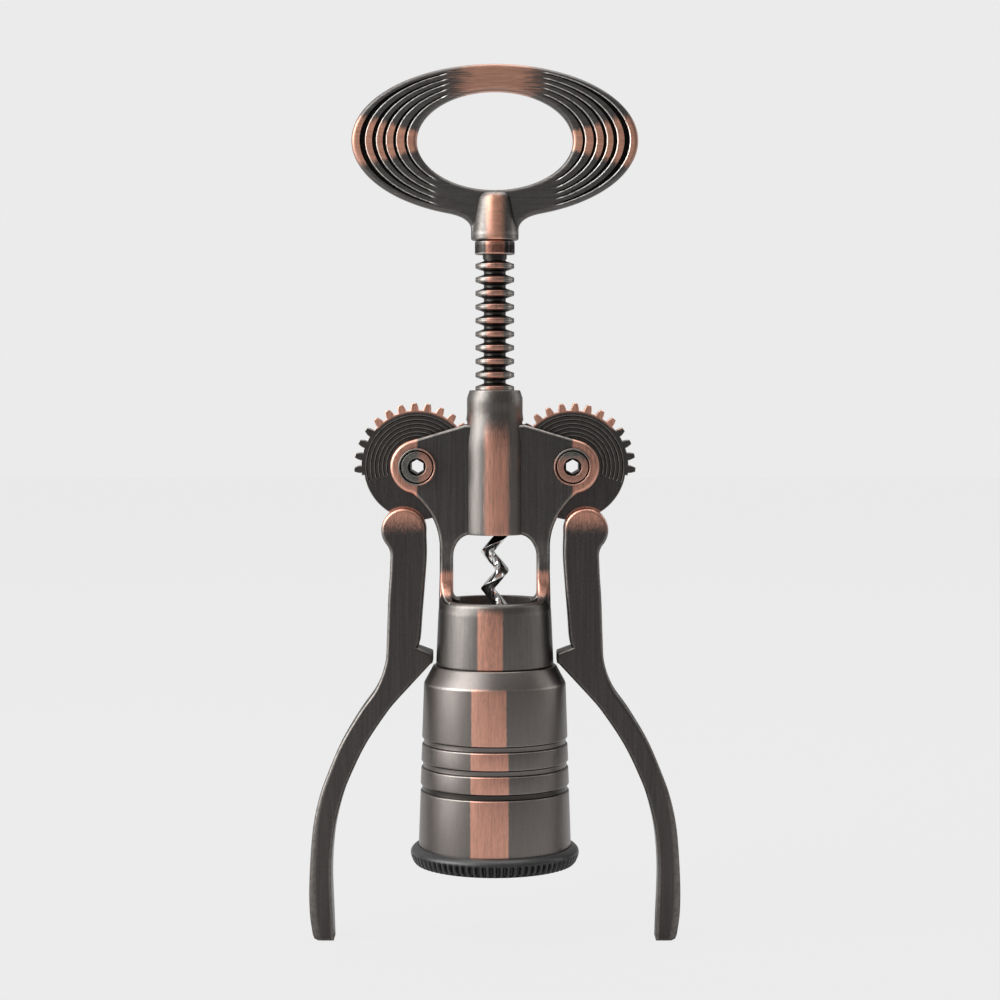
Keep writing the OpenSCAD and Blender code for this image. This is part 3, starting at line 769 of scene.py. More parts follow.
class Effects:
    """The shared effects, each built once."""

    def __init__(self) -> None:
        """Builds the four groups."""
        self.brush_marks = brush_marks_group()
        self.rubbed_patch = rubbed_patch_group()
        self.edge_wear_and_glint = edge_wear_and_glint_group()
        self.speckle = speckle_group()


@dataclass(frozen=True)
class Patch:
    """A place that is rubbed through to copper, in the part's own X and Z in millimetres.

    Attributes:
        low: lowest X and Z.
        high: highest X and Z.
        soft: width of the fade at the ends in X and in Z.
        ragged: how far the brush marks shift the ends in X and in Z.
        grain: width of a brush mark in X and in Z.
        strength: the patch's strength from 0 to 1.
        ring: X, Z, inner and outer radius of a ring that the patch keeps to, or nothing.
        taper: X at which the patch has its own height, and the height's growth for each millimetre away from the
            axis, or nothing.
        back: highest Y; without it the patch is on both sides.
    """

    low: Pair
    high: Pair
    soft: Pair = (0.5, 0.5)
    ragged: Pair = (0.6, 0.6)
    grain: Pair = (0.5, 0.5)
    strength: float = 1.0
    ring: tuple[float, float, float, float] | None = None
    taper: Pair | None = None
    back: float = FAR_MM

    def mask(self, graph: Graph, effects: Effects, place: Socket, seed: float) -> Socket:
        """The patch's mask.

        Args:
            graph: the material's graph.
            effects: the shared groups.
            place: the place on the object.
            seed: seed of the noise.

        Returns:
            1 in the patch to 0 outside it.
        """
        found = graph.group(
            effects.rubbed_patch, Place=self._tapered(graph, place) if self.taper else place,
            Low=metres(self.low[0], -FAR_MM, self.low[1]), High=metres(self.high[0], self.back, self.high[1]),
            Soft=metres(self.soft[0], 1.0, self.soft[1]), Ragged=metres(self.ragged[0], 0.0, self.ragged[1]),
            Grain=metres(self.grain[0], self.grain[0], self.grain[1]), Seed=seed)
        value = graph.times(found["Mask"], self.strength)
        return graph.times(value, self._ringed(graph, place)) if self.ring else value

    def _tapered(self, graph: Graph, place: Socket) -> Socket:
        """The place with its height above the patch's middle divided by the patch's growth at that X.

        Args:
            graph: the material's graph.
            place: the place on the object.

        Returns:
            The changed place.
        """
        middle = (self.low[1] + self.high[1]) / 2 * MM
        x, y, z = graph.add("ShaderNodeSeparateXYZ", {0: place}).outputs
        away = graph.math("SUBTRACT", graph.math("ABSOLUTE", x), self.taper[0] * MM)
        growth = graph.math("ADD", 1.0, graph.times(away, self.taper[1] / MM))
        rise = graph.math("DIVIDE", graph.math("SUBTRACT", z, middle), growth)
        return graph.add("ShaderNodeCombineXYZ", {0: x, 1: y, 2: graph.math("ADD", rise, middle)}).outputs[0]

    def _ringed(self, graph: Graph, place: Socket) -> Socket:
        """A mask that is one between two radii round an axis along Y, with soft ends.

        Args:
            graph: the material's graph.
            place: the place on the object.

        Returns:
            The mask.
        """
        x, z, inner, outer = metres(*self.ring)
        away = graph.vector("MULTIPLY", graph.vector("SUBTRACT", place, (x, 0, z)), (1, 0, 1))
        radius = graph.add("ShaderNodeVectorMath", {0: away}, operation="LENGTH").outputs["Value"]
        fade, long_fade = metres(0.3, 0.5)
        rising = graph.span(radius, inner - fade, inner + long_fade)
        return graph.times(rising, graph.span(radius, outer - fade, outer + fade, 1.0, 0.0))


@dataclass(frozen=True)
class AgedPlate:
    """Antiqued copper plate: dark patina with brush marks, rubbed copper, light edges of wear and painted highlight.

    Attributes:
        name: the material's name.
        dark: colour of the patina.
        light: colour between the brush marks.
        patches: the rubbed places.
        copper: colour of the rubbed copper.
        edge: colour of marked edges: rubbed wear and a painted highlight.
        hollow: colour in hollows, creases and bores: painted shade.
        turned_sheen_dark: patina on turned faces, lighter than on flats: partly a smoother finish, partly painted
            sheen.
        turned_sheen_light: colour between the brush marks there.
        marks: size of a brush mark in X, Y and Z in millimetres.
        marks_share: how much the brush marks show.
        speckle: how much the fine speckle shows.
        speckle_scale: its fineness.
        roughness: lowest and highest roughness.
        bump: height of the brush marks in millimetres.
        edge_share: how much the worn edges show.
        copper_wear: how much of the copper the brush marks leave dark.
        edge_tint: how much a marked edge in a rubbed place takes the copper's colour.
        seed: seed of the noise.
    """

    name: str
    dark: Colour
    light: Colour
    patches: tuple[Patch, ...]
    copper: Colour = rgb(0.66, 0.32, 0.235)
    edge: Colour = rgb(0.50, 0.46, 0.42)
    hollow: Colour = rgb(0.012, 0.011, 0.010)
    turned_sheen_dark: Colour = rgb(0.17, 0.155, 0.14)
    turned_sheen_light: Colour = rgb(0.36, 0.335, 0.31)
    marks: Place = (0.25, 0.25, 9.0)
    marks_share: float = 0.6
    speckle: float = 0.25
    speckle_scale: float = 1400.0
    roughness: Pair = (0.30, 0.42)
    bump: float = 0.012
    edge_share: float = 0.85
    copper_wear: float = 0.3
    edge_tint: float = 0.75
    seed: float = 0.0

    def material(self, effects: Effects) -> bpy.types.Material:
        """Builds the material.

        Args:
            effects: the shared groups.

        Returns:
            The material.
        """
        made = bpy.data.materials.new(self.name)
        graph = graph_of(made)
        place, deep = graph.place(), graph.mark("deep")
        marks = graph.group(effects.brush_marks, Place=place, Size=metres(*self.marks), Seed=self.seed)
        speckle = graph.group(effects.speckle, Place=place, Scale=self.speckle_scale, Seed=self.seed + 3)
        tone = graph.math("ADD", graph.times(marks["Broad"], self.marks_share),
                          graph.times(speckle["Tone"], self.speckle), clamp=True)
        # Turned faces take the lighter pair of colours: partly a smoother finish, partly painted sheen.
        colour = graph.mix(graph.mark("turned_sheen"), graph.mix(tone, self.dark, self.light),
                           graph.mix(tone, self.turned_sheen_dark, self.turned_sheen_light))
        masks = [patch.mask(graph, effects, place, self.seed + k) for k, patch in enumerate(self.patches)]
        streaks = graph.span(marks["Fine"], 0.1, 0.55, 1.0 - self.copper_wear, 1.0)
        dry = graph.math("SUBTRACT", 1.0, graph.times(deep, 2.0), clamp=True)
        rubbed = graph.times(graph.times(reduce(partial(graph.math, "MAXIMUM"), masks), streaks), dry)
        copper = graph.mix(graph.span(marks["Broad"], 0.2, 0.9, 0.0, 0.35), self.copper,
                           tinted(self.copper, BRUSHED_SHARE))
        # Hollows go towards the hollow colour: painted shade.
        colour = graph.mix(graph.span(deep, 0.1, 0.9), graph.mix(rubbed, colour, copper), self.hollow)
        # Marked edges turn light, copper-tinted in rubbed places: rubbed wear and painted highlight.
        edges = graph.group(effects.edge_wear_and_glint, Mark=graph.mark("wear_and_glint"), Place=place, Seed=self.seed + 5)
        edge = graph.mix(graph.times(rubbed, self.edge_tint), self.edge, tinted(self.copper, SHINE_SHARE))
        colour = graph.mix(graph.times(edges["Mask"], self.edge_share), colour, edge)
        rough = graph.span(marks["Fine"], 0.0, 1.0, *self.roughness, smooth=False)
        height = graph.math("ADD", marks["Fine"], graph.times(speckle["Height"], 0.5))
        graph.surface(colour, 1.0, rough, height, self.bump)
        return made


@dataclass(frozen=True)
class Plain:
    """A plain material with fine speckle in colour, roughness and height.

    Attributes:
        name: the material's name.
        colour: its colour.
        metallic: 0 for plastic to 1 for metal.
        roughness: lowest and highest roughness.
        speckle: share by which the colour varies.
        scale: fineness of the speckle.
        bump: height of the speckle in millimetres.
        seed: seed of the noise.
        edge: colour of the painted highlight on marked edges.
        edge_share: how much they show.
    """

    name: str
    colour: Colour
    metallic: float
    roughness: Pair
    speckle: float
    scale: float
    bump: float
    seed: float
    edge: Colour = rgb(0.4, 0.4, 0.4)
    edge_share: float = 0.0

    def material(self, effects: Effects) -> bpy.types.Material:
        """Builds the material.

        Args:
            effects: the shared groups.

        Returns:
            The material.
        """
        made = bpy.data.materials.new(self.name)
        graph = graph_of(made)
        speckle = graph.group(effects.speckle, Place=graph.place(), Scale=self.scale, Seed=self.seed)
        colour = graph.mix(speckle["Tone"], tinted(self.colour, 1 - self.speckle),
                           tinted(self.colour, 1 + self.speckle))
        # Marked edges take the edge colour as a painted highlight, and hollows go towards black as painted shade.
        colour = graph.mix(graph.times(graph.mark("wear_and_glint"), self.edge_share), colour, self.edge)
        colour = graph.mix(graph.times(graph.mark("deep"), HOLLOW_SHADE_SHARE), colour, rgb(0.0, 0.0, 0.0))
        rough = graph.span(speckle["Tone"], 0.0, 1.0, *self.roughness, smooth=False)
        graph.surface(colour, self.metallic, rough, speckle["Height"], self.bump)
        return made


# The object's sub-assemblies, each with its sizes, meshes and finishes


@dataclass(frozen=True)
class Layout:
    """Sizes that more than one sub-assembly uses, in millimetres.

    Attributes:
        pivot_x: distance of the pivots from the axis.
        pivot_z: their height.
        lug_drop: height between the pivots and the stop lugs' foot.
        tip_drop: height between the lugs' foot and the levers' tips.
        gear_tip_r: radius over the gear's teeth.
        collar_r: radius of the collar's foot.
        ear_y: distance of the ears' faces from the middle.
        spacing: largest distance between two points of an outline.
    """

    pivot_x: float = 22.37
    pivot_z: float = 115.3
    lug_drop: float = 57.4
    tip_drop: float = 79.9
    gear_tip_r: float = 18.3
    collar_r: float = 17.05
    ear_y: float = 5.0
    spacing: float = 0.9

    def pivot(self, side: Side) -> Place:
        """The middle of a side's pivot."""
        return (side.value * self.pivot_x, 0, self.pivot_z)


LAYOUT = Layout()
SHARP = Rim(0.0, 0.0, 1, 0.0)


@dataclass(frozen=True)
class FrameCasting:
    """The frame: column with boss, two slotted ears on each side, two legs and the collar with its spigot.

    Attributes:
        slot_half_t: half the width of the gears' slot.
        slot_r: radius of the slot round a pivot.
        ear_r: radius of an ear.
        pivot_r: radius of the pivot's hole.
        leg_half_t: half a leg's depth.
        window_half_w: half the window's width.
        window_top_z: height of its upper side.
        leg_outer_x: distance of a leg's outer face from the axis.
        leg_top_z: height at which that face ends.
        step_z: heights between which the plate's face steps down to the legs'.
        rim: rounding of the plate's edges.
        hidden_x: where the plates end inside the column.
        corner: place of the plates' upper corner.
        bore_r: radius of the column's bore.
        boss_r: radius of its lower part.
        collar_rim_z: height of the collar's rim.
        fillet_r: radius of the round between leg and rim.
    """

    slot_half_t: float = 2.6
    slot_r: float = 18.8
    ear_r: float = 7.8
    pivot_r: float = 3.03
    leg_half_t: float = 4.0
    window_half_w: float = 12.1
    window_top_z: float = 95.66
    leg_outer_x: float = 15.9
    leg_top_z: float = 92.93
    step_z: Pair = (86.5, 94.5)
    rim: Rim = Rim(1.0, 1.0, 5, 0.7)
    hidden_x: float = 6.2
    corner: Pair = (8.72, 127.4)
    bore_r: float = 5.83
    boss_r: float = 9.12
    collar_rim_z: float = 76.6
    fillet_r: float = 6.2

    def _leg_inside(self) -> np.ndarray:
        """The window's side, from its upper corner down into the collar's rim and up the leg's outer face.

        Returns:
            The outline's points.
        """
        turn = np.linspace(QUARTER_TURN, 0, 17)
        corner = np.stack([self.window_half_w - 5.0 * (1 - np.cos(turn)),
                           self.window_top_z - 7.0 * (1 - np.sin(turn))], 1)
        foot_r, low_z, inner_x, hidden_z = 2.0, self.collar_rim_z - 1.0, 14.7, 74.0
        foot = arc((self.window_half_w - foot_r, low_z + 1.3 + foot_r), foot_r, 0, -90, 8)
        return np.concatenate([[[self.hidden_x, self.window_top_z]], corner, foot,
                               [[self.window_half_w - foot_r, low_z], [inner_x, low_z], [inner_x, hidden_z],
                                [self.leg_outer_x + 0.25, hidden_z], [self.leg_outer_x + 0.2, 77.0],
                                [self.leg_outer_x, 85.0]]])

    def cheek_outline(self) -> np.ndarray:
        """The right cheek's outline: leg, lower curve, ear, upper slope and window.

        Returns:
            The outline's points.
        """
        ear = np.array([LAYOUT.pivot_x, LAYOUT.pivot_z])
        lower = bend((self.leg_outer_x, self.leg_top_z), (16.55, 103.0), (26.17, 109.04), 50)[:32]
        start = -78.0
        foot = arc(tuple(ear), self.ear_r, start, start, 1)[0]
        lower = np.concatenate([lower, bend(lower[-1], (23.11, 107.48), foot, 14)[1:-1]])
        corner = np.array(self.corner)
        reach = np.linalg.norm(ear - corner)
        slope = math.atan2(*(ear - corner)[::-1]) + math.asin(self.ear_r / reach)
        return np.concatenate([lower, arc(tuple(ear), self.ear_r, start, math.degrees(slope) + 90, 48),
                               [corner, [self.hidden_x, self.corner[1]]], self._leg_inside()])

    def core_outline(self) -> np.ndarray:
        """The outline of the part between both cheeks, below the gear's slot.

        Returns:
            The outline's points.
        """
        low, high = (180 + math.degrees(math.acos((LAYOUT.pivot_x - x) / self.slot_r))
                     for x in (self.leg_outer_x, self.hidden_x))
        return np.concatenate([[[self.leg_outer_x, self.leg_top_z]],
                               arc((LAYOUT.pivot_x, LAYOUT.pivot_z), self.slot_r, low, high, 20), self._leg_inside()])

    def face_y(self, outline: np.ndarray) -> np.ndarray:
        """Distance of the front face from the middle: the plate's above, the legs' below, with a soft step between."""
        return self.leg_half_t + (LAYOUT.ear_y - self.leg_half_t) * ramp(outline[:, 1], *self.step_z)

    def right_half(self) -> Shell:
        """Both right cheeks, the part between them and the leg's two foot rounds.

        Returns:
            The right half.
        """
        outline = refined(self.cheek_outline(), LAYOUT.spacing)
        face = self.face_y(outline)
        rim = replace(self.rim, reach=0.15 + 0.85 * ramp(outline[:, 1], self.collar_rim_z, 79.2))
        hole = circle((LAYOUT.pivot_x, LAYOUT.pivot_z), self.pivot_r, 48)
        front = plate(outline, -face, -self.slot_half_t, rim, SHARP, (hole,))
        back = plate(outline, self.slot_half_t, face, SHARP, rim, (hole,))
        depth = self.slot_half_t + 0.05
        core = plate(refined(self.core_outline(), LAYOUT.spacing), -depth, depth, SHARP, SHARP, margin=0.0)
        foot = self.foot_round()
        return joined([front, back, core, foot, foot.placed(MIRROR_Y)])

    def foot_round(self) -> Shell:
        """The hollow round that leads a leg's front face out onto the collar's rim, with the leg's own edges.

        At angle a its face lies fillet_r (1 - cos a) before the leg and fillet_r (1 + sin a) above the rim.

        Returns:
            The round.
        """
        turn = np.linspace(-QUARTER_TURN, 0, 15)[:, None]
        share = np.linspace(0, 1, 15)[:, None]
        inner_y = -self.leg_half_t - self.fillet_r * (1 - np.cos(turn))
        outer_y = -self.leg_half_t - 0.77 * self.fillet_r * (1 - np.cos(turn))
        z = self.collar_rim_z + self.fillet_r + self.fillet_r * np.sin(turn)
        outer_x = np.sqrt((15.7 + 0.69 * share) ** 2 - outer_y**2)
        inner_x = np.sqrt(14.5**2 - inner_y**2) * (1 - share) + self.window_half_w * share
        inner_x = np.minimum(inner_x, self.window_half_w + 0.4 * (1 - share))
        reach, drop, mark = self.rim.rows()
        width = 0.45 + 0.55 * share
        x = np.concatenate([inner_x + width * reach[::-1], outer_x - width * reach, outer_x, inner_x], 1)
        y = inner_y + (outer_y - inner_y) * (x - inner_x) / (outer_x - inner_x)
        depth = self.rim.drop * np.concatenate([drop[::-1], drop, [2.4, 2.4]]) * width
        rows = np.stack([x, y + depth * np.cos(turn), z + depth * np.sin(turn)], 2)
        return swept(rows, np.concatenate([mark[::-1], mark, [0, 0]]))

    def column(self) -> Shell:
        """The column with its boss and bore, slotted on both sides for the gears.

        The angles are drawn so that two lines on each side run at the slot's faces. The cells between them
        are left out and the wall's section closes the gap.

        Returns:
            The column.
        """
        outer, wear_and_glint, _ = softened([
            [self.bore_r, self.window_top_z], [self.boss_r, self.window_top_z], [self.boss_r, 122.6],
            [8.32, 128.2], [7.36, 137.3], [self.bore_r, 137.3]], [0.2, 0.4, 3.4, 2.6, 0.22, 0.3], 6)
        side = (outer[:, 1] > 96.3) & (outer[:, 1] < 136.5) & (outer[:, 0] > 7)
        marks = np.where(side, 0, wear_and_glint)
        slot_z = np.array([102.0, 104.5, 108, 112, 116, 120, 123.2, 124.8, 126.4, 127.7, 128.7])
        z = np.unique(np.concatenate([outer[side, 1], slot_z, np.linspace(97, 101, 3), np.linspace(130, 135, 4)]))
        ordered = np.argsort(outer[side, 1])
        r = np.interp(z, outer[side, 1][ordered], outer[side, 0][ordered])
        first, last = np.flatnonzero(side)[[0, -1]]
        slot_rows = np.flatnonzero((z >= slot_z[0] - 1e-9) & (z <= slot_z[-1] + 1e-9))
        bore_z = np.interp(np.linspace(1, 0, len(slot_rows)), [0, 1], [106.4, 124.2])
        profile = np.concatenate([outer[:first], np.stack([r, z], 1), outer[last + 1:],
                                  np.stack([np.full(len(bore_z), self.bore_r), bore_z], 1)])
        marks = np.concatenate([marks[:first], 0 * r, marks[last + 1:], 0 * bore_z])
        outer_rows = first + slot_rows
        bore_rows = np.arange(len(profile) - len(bore_z), len(profile))[::-1]
        inner_columns, outer_columns = 7, 41
        edge_angle = np.arcsin(self.slot_half_t / profile[:, :1])
        near = np.linspace(-1, 1, inner_columns)[None] * edge_angle
        far = edge_angle + (math.pi - 2 * edge_angle) * np.linspace(0, 1, outer_columns)[None, 1:-1]
        angle = np.concatenate([near, far, near + math.pi, far + math.pi], 1)
        rows, columns = angle.shape
        points = np.stack([profile[:, :1] * np.cos(angle), profile[:, :1] * np.sin(angle),
                           profile[:, 1:] + 0 * angle], 2).reshape(-1, 3)
        quads = grid_faces(rows, columns, True, True).reshape(rows, columns, 4)
        keep = np.ones((rows, columns), bool)
        opposite = inner_columns + outer_columns - 2
        cells = np.concatenate([np.arange(inner_columns - 1), opposite + np.arange(inner_columns - 1)])
        keep[np.ix_(outer_rows[:-1], cells)] = False
        keep[np.ix_(bore_rows[1:], cells)] = False
        groups = [quads[keep]]
        for column, sense in ((0, -1), (inner_columns - 1, 1), (opposite, -1), (opposite + inner_columns - 1, 1)):
            a, b = outer_rows * columns + column, bore_rows * columns + column
            groups.append(np.stack([a[:-1], a[1:], b[1:], b[:-1]], 1)[:, ::sense])
        for row_out, row_in, sense in ((outer_rows[0], bore_rows[0], 1), (outer_rows[-1], bore_rows[-1], -1)):
            a, b = row_out * columns + cells, row_in * columns + cells
            groups.append(np.stack([a, a + 1, b + 1, b], 1)[:, ::sense])
        # The bore carries the deep mark: painted shade inside it.
        hollow = np.where(profile[:, 0] < self.bore_r + 0.2, 0.6, 0.0)
        return Shell(points, groups, np.repeat(marks, columns), np.repeat(hollow, columns)).outward()

    def collar(self) -> Shell:
        """The conical collar with its rounded rim and the spigot in the bell.

        Returns:
            The collar.
        """
        inner_r, spigot_r, spigot_z, foot_z = 14.4, 15.9, 47.3, 57.9
        points, wear_and_glint, _ = softened([
            [inner_r, spigot_z], [spigot_r, spigot_z], [spigot_r, foot_z], [LAYOUT.collar_r, foot_z], [16.34, 73.6],
            [15.98, 75.7], [15.3, self.collar_rim_z], [inner_r, self.collar_rim_z]],
            [0.2, 0.3, 0.1, 0.3, 2.5, 1.6, 0.7, 0.4], 8)
        # Inside the collar the edge mark fades out and the deep mark paints shade.
        inner = ramp(15.0 - points[:, 0], 0.0, 0.5)
        return turned((points, 0.3 * wear_and_glint * (1 - inner), 0.12 * inner * (points[:, 1] < 75)), 192)

    def shell(self) -> Shell:
        """The whole casting."""
        right = self.right_half()
        return joined([right, right.placed(MIRROR_X), self.column().toned(1.0), self.collar().toned(1.0)])

    def build(self, effects: Effects) -> None:
        """Builds and dresses the casting.

        Args:
            effects: the shared groups.
        """
        ears = [Patch((low, 104.0), (high, 124.0), (0.9, 1.0), (1.0, 1.0), (0.4, 2.0), 1.0,
                      (side.value * LAYOUT.pivot_x, LAYOUT.pivot_z, 5.3, 9.5))
                for side, low, high in ((Side.LEFT, -31.0, -22.4), (Side.RIGHT, 22.4, 31.0))]
        feet = [Patch((x, 78.4), (x + 8.0, 84.9), (0.5, 2.2), (0.4, 5.0), (0.25, 2.0)) for x in (-17.0, 9.0)]
        # Its hollow colour, a dark bluish grey, is painted shade in the bore and inside the collar.
        finish = AgedPlate(
            "frame_plate", dark=rgb(0.078, 0.072, 0.069), light=rgb(0.195, 0.18, 0.172), patches=(
                Patch((-2.7, 88.0), (3.9, 126.0), (1.8, 7.0), (2.6, 12.0), (0.22, 6.0)),
                Patch((-4.9, 55.0), (2.3, 74.6), (0.6, 2.6), (0.8, 3.0), (0.3, 2.0), back=0.0), *ears, *feet),
            copper=rgb(0.80, 0.40, 0.295), hollow=rgb(0.045, 0.047, 0.050),
            turned_sheen_dark=rgb(0.15, 0.138, 0.128), turned_sheen_light=rgb(0.28, 0.26, 0.245), marks=(0.18, 0.18, 7.0),
            marks_share=0.25, speckle=0.15, edge_share=0.4, copper_wear=0.45, seed=1.0)
        add_piece("frame_fine", self.shell(), Body.FRAME, "frame_casting", finish.material(effects), "frame")


@dataclass(frozen=True)
class Handle:
    """The oval ring with its finger hole, grooves, neck and hub.

    The ring's faces are a grid. Each place has a share s, 0 at the hole and 1 at the ring's edge, and an
    angle t, with x = (hole_w + (half_w - hole_w) s) cos t and z likewise with the heights and sin t. Each
    groove keeps one share.

    Attributes:
        centre_z: height of the ring's middle.
        half_w: half the ring's width.
        half_h: half its height.
        hole_w: half the hole's width.
        hole_h: half its height.
        half_t: half the ring's thickness.
        hub_r: radius of the hub's foot.
        hub_z: height of its lower face.
        bore_r: radius of the shaft's bore.
        flare_z: height at which the neck starts to widen.
        flare_x: where the neck meets the ring.
        grooves: share of each groove.
        groove_half_w: half the width of each.
        groove_depth: their depth.
        rim: rounding of the ring's edges.
    """

    centre_z: float = 209.2
    half_w: float = 41.3
    half_h: float = 22.0
    hole_w: float = 22.5
    hole_h: float = 14.2
    half_t: float = 2.5
    hub_r: float = 6.85
    hub_z: float = 180.6
    bore_r: float = 3.18
    flare_z: float = 183.57
    flare_x: float = 13.7
    grooves: tuple[float, ...] = (0.168, 0.337, 0.495, 0.65, 0.83)
    groove_half_w: tuple[float, ...] = (0.34, 0.38, 0.44, 0.54, 0.76)
    groove_depth: float = 0.5
    rim: float = 1.1

    def outline(self) -> np.ndarray:
        """The ring's and the neck's outer edge, from the neck's middle counter-clockwise round to it again.

        Returns:
            The outline's points.
        """
        corner_r = 0.6
        start = np.array([self.flare_x,
                          self.centre_z - self.half_h * math.sqrt(1 - (self.flare_x / self.half_w) ** 2)])
        flare = bend((self.hub_r, self.flare_z), (self.hub_r, 187.2), start, 14)
        corner = arc((self.hub_r - corner_r, self.hub_z + corner_r), corner_r, -90, 0, 6)
        bottom = np.stack([np.linspace(0, self.hub_r - corner_r, 10)[:-1], np.full(9, self.hub_z)], 1)
        side = np.stack([np.full(6, self.hub_r), np.linspace(self.hub_z + corner_r, self.flare_z, 8)[1:-1]], 1)
        first = math.degrees(math.asin((start[1] - self.centre_z) / self.half_h))
        angle = np.radians(np.linspace(first, 90, 161)[1:])
        ring = np.stack([self.half_w * np.cos(angle), self.centre_z + self.half_h * np.sin(angle)], 1)
        right = np.concatenate([bottom, corner, side, flare, ring])
        return np.concatenate([right, (right * [-1, 1])[::-1][1:-1]])

    def shares(self, outline: np.ndarray) -> tuple[np.ndarray, np.ndarray]:
        """The share s and angle t of each outline point: s is halved in until (x/a)^2 + (z/b)^2 is one.

        Args:
            outline: points in X and Z.

        Returns:
            The shares and the angles.
        """
        x, z = outline[:, 0], outline[:, 1] - self.centre_z
        low, high, halvings = np.zeros(len(x)), np.full(len(x), 3.0), 40
        for _ in range(halvings):
            s = (low + high) / 2
            a, b = self.hole_w + (self.half_w - self.hole_w) * s, self.hole_h + (self.half_h - self.hole_h) * s
            outside = (x / a) ** 2 + (z / b) ** 2 > 1
            low, high = np.where(outside, s, low), np.where(outside, high, s)
        return s, np.arctan2(z / b, x / a)

    def rounding(self, angle: float) -> tuple[float, float, float, float]:
        """A step of the rounded edge: its distance in, its drop, its worn mark and its deep mark."""
        # The rim's rounding gets a faint edge mark and a deep mark, which paints it darker: painted shade.
        shine = math.sin(2 * angle) ** 0.5
        return self.rim * (1 - math.cos(angle)), self.rim * (1 - math.sin(angle)), 0.1 * shine, 0.3 * shine

    def groove(self, share: float, half_w: float, t: np.ndarray, pace: np.ndarray) -> list[tuple[np.ndarray, ...]]:
        """The rows of one groove, which fades out towards the ring's top and neck.

        Seen from the front the wall on its right side catches the light, so that wall is wide and carries a painted
        highlight; the other wall and the floor carry painted shade.

        Args:
            share: the groove's share.
            half_w: half its width in millimetres.
            t: angle of each column.
            pace: millimetres for each unit of share.

        Returns:
            The share, drop, worn mark and deep mark of each row.
        """
        wide = self.half_w - self.hole_w
        limit = np.where(t > 0, self.half_w * 0.315, self.half_w * 0.40)
        depth = self.groove_depth * ramp(np.abs((self.hole_w + wide * share) * np.cos(t)), limit - 0.3, limit + 3.2)
        half = 0.05 + (half_w - 0.05) * np.abs(np.cos(t)) ** 3
        lit_out = ramp(np.cos(t), -0.1, 0.1)
        lit_in = 1 - lit_out
        inner_wall, outer_wall = 0.05 + 0.22 * lit_in, 0.05 + 0.22 * lit_out
        shown = depth / self.groove_depth
        # The edge column paints the highlight on the lit wall; the hollow column paints shade on the other wall and
        # floor.
        return [(share + offset / pace, depth * part, edge * shown, hollow * shown)
                for offset, part, edge, hollow in (
                    (-half - inner_wall - 0.07, 0, 0, 0), (-half - inner_wall, 0, lit_in, 0),
                    (-half - 0.02, 0.5, lit_in, 1 - lit_in), (-half, 1, 0, 1), (half, 1, 0, 1),
                    (half + 0.02, 0.5, lit_out, 1 - lit_out), (half + outer_wall, 0, lit_out, 0),
                    (half + outer_wall + 0.07, 0, 0, 0))]

    def ring(self) -> Shell:
        """The ring's and the neck's plate with both faces.

        Returns:
            The ring.
        """
        outline = self.outline()
        s_out, t = self.shares(outline)
        wide, high = self.half_w - self.hole_w, self.half_h - self.hole_h
        ellipse = unit(np.stack([self.half_h * np.cos(t), self.half_w * np.sin(t)], 1))
        pace = wide * np.cos(t) * ellipse[:, 0] + high * np.sin(t) * ellipse[:, 1]
        step = unit(-inward(outline))
        edge_pace = np.maximum(step[:, 0] * wide * np.cos(t) + step[:, 1] * high * np.sin(t), 0.2 * pace)
        rim = [self.rounding(angle) for angle in np.linspace(0, QUARTER_TURN, 6)]
        rows = [(distance / pace, *others) for distance, *others in rim]
        for share, half_w in zip(self.grooves, self.groove_half_w):
            rows += self.groove(share, half_w, t, pace)
        inner = rows[-1][0]
        last = s_out - self.rim / edge_pace
        rows += [(inner + (np.maximum(last - 0.3 / edge_pace, inner + 0.002) - inner) * share, 0, 0, 0)
                 for share in (0.5, 1.0)]
        for distance, *others in rim[::-1]:
            rows.append((np.maximum(s_out - distance / edge_pace, rows[-1][0] + 1e-4), *others))
        s, drop, wear_and_glint, deep = (np.stack([np.broadcast_to(v, len(t)) for v in column]) for column in zip(*rows))
        s = np.maximum.accumulate(s, 0)
        s[-1] = s_out
        front = np.stack([(self.hole_w + wide * s) * np.cos(t), -self.half_t + drop,
                          self.centre_z + (self.hole_h + high * s) * np.sin(t)], 2)
        loop = np.concatenate([front, (front * [1, -1, 1])[::-1]])
        marks = [np.concatenate([mark, mark[::-1]]).ravel() for mark in (wear_and_glint, deep)]
        return Shell(loop.reshape(-1, 3), [grid_faces(len(loop), len(t), True, True)], *marks).outward()

    def hub(self) -> Shell:
        """The hub with its round top and the shaft's bore.

        Returns:
            The hub.
        """
        bore_top, top_z = 190.9, 194.5
        points, wear_and_glint, deep = softened([
            [0, bore_top], [self.bore_r, bore_top], [self.bore_r, self.hub_z], [self.hub_r, self.hub_z],
            [self.hub_r, self.hub_z + 1.9], [4.72, top_z], [0, top_z]],
            [0, 0.1, 0.2, 0.5, 1.4, 2.3, 0], 8, closed=False)
        return turned((points, 0.2 * wear_and_glint, deep), 128, closed=False)

    def build(self, effects: Effects) -> None:
        """Builds and dresses the casting.

        Args:
            effects: the shared groups.
        """
        sides = [Patch((x, 206.3), (x + 25.0, 211.8), (0.5, 1.2), (0.5, 3.0), (0.30, 2.0), 1.0, None,
                       (self.hole_w, 0.095)) for x in (-45.0, 20.0)]
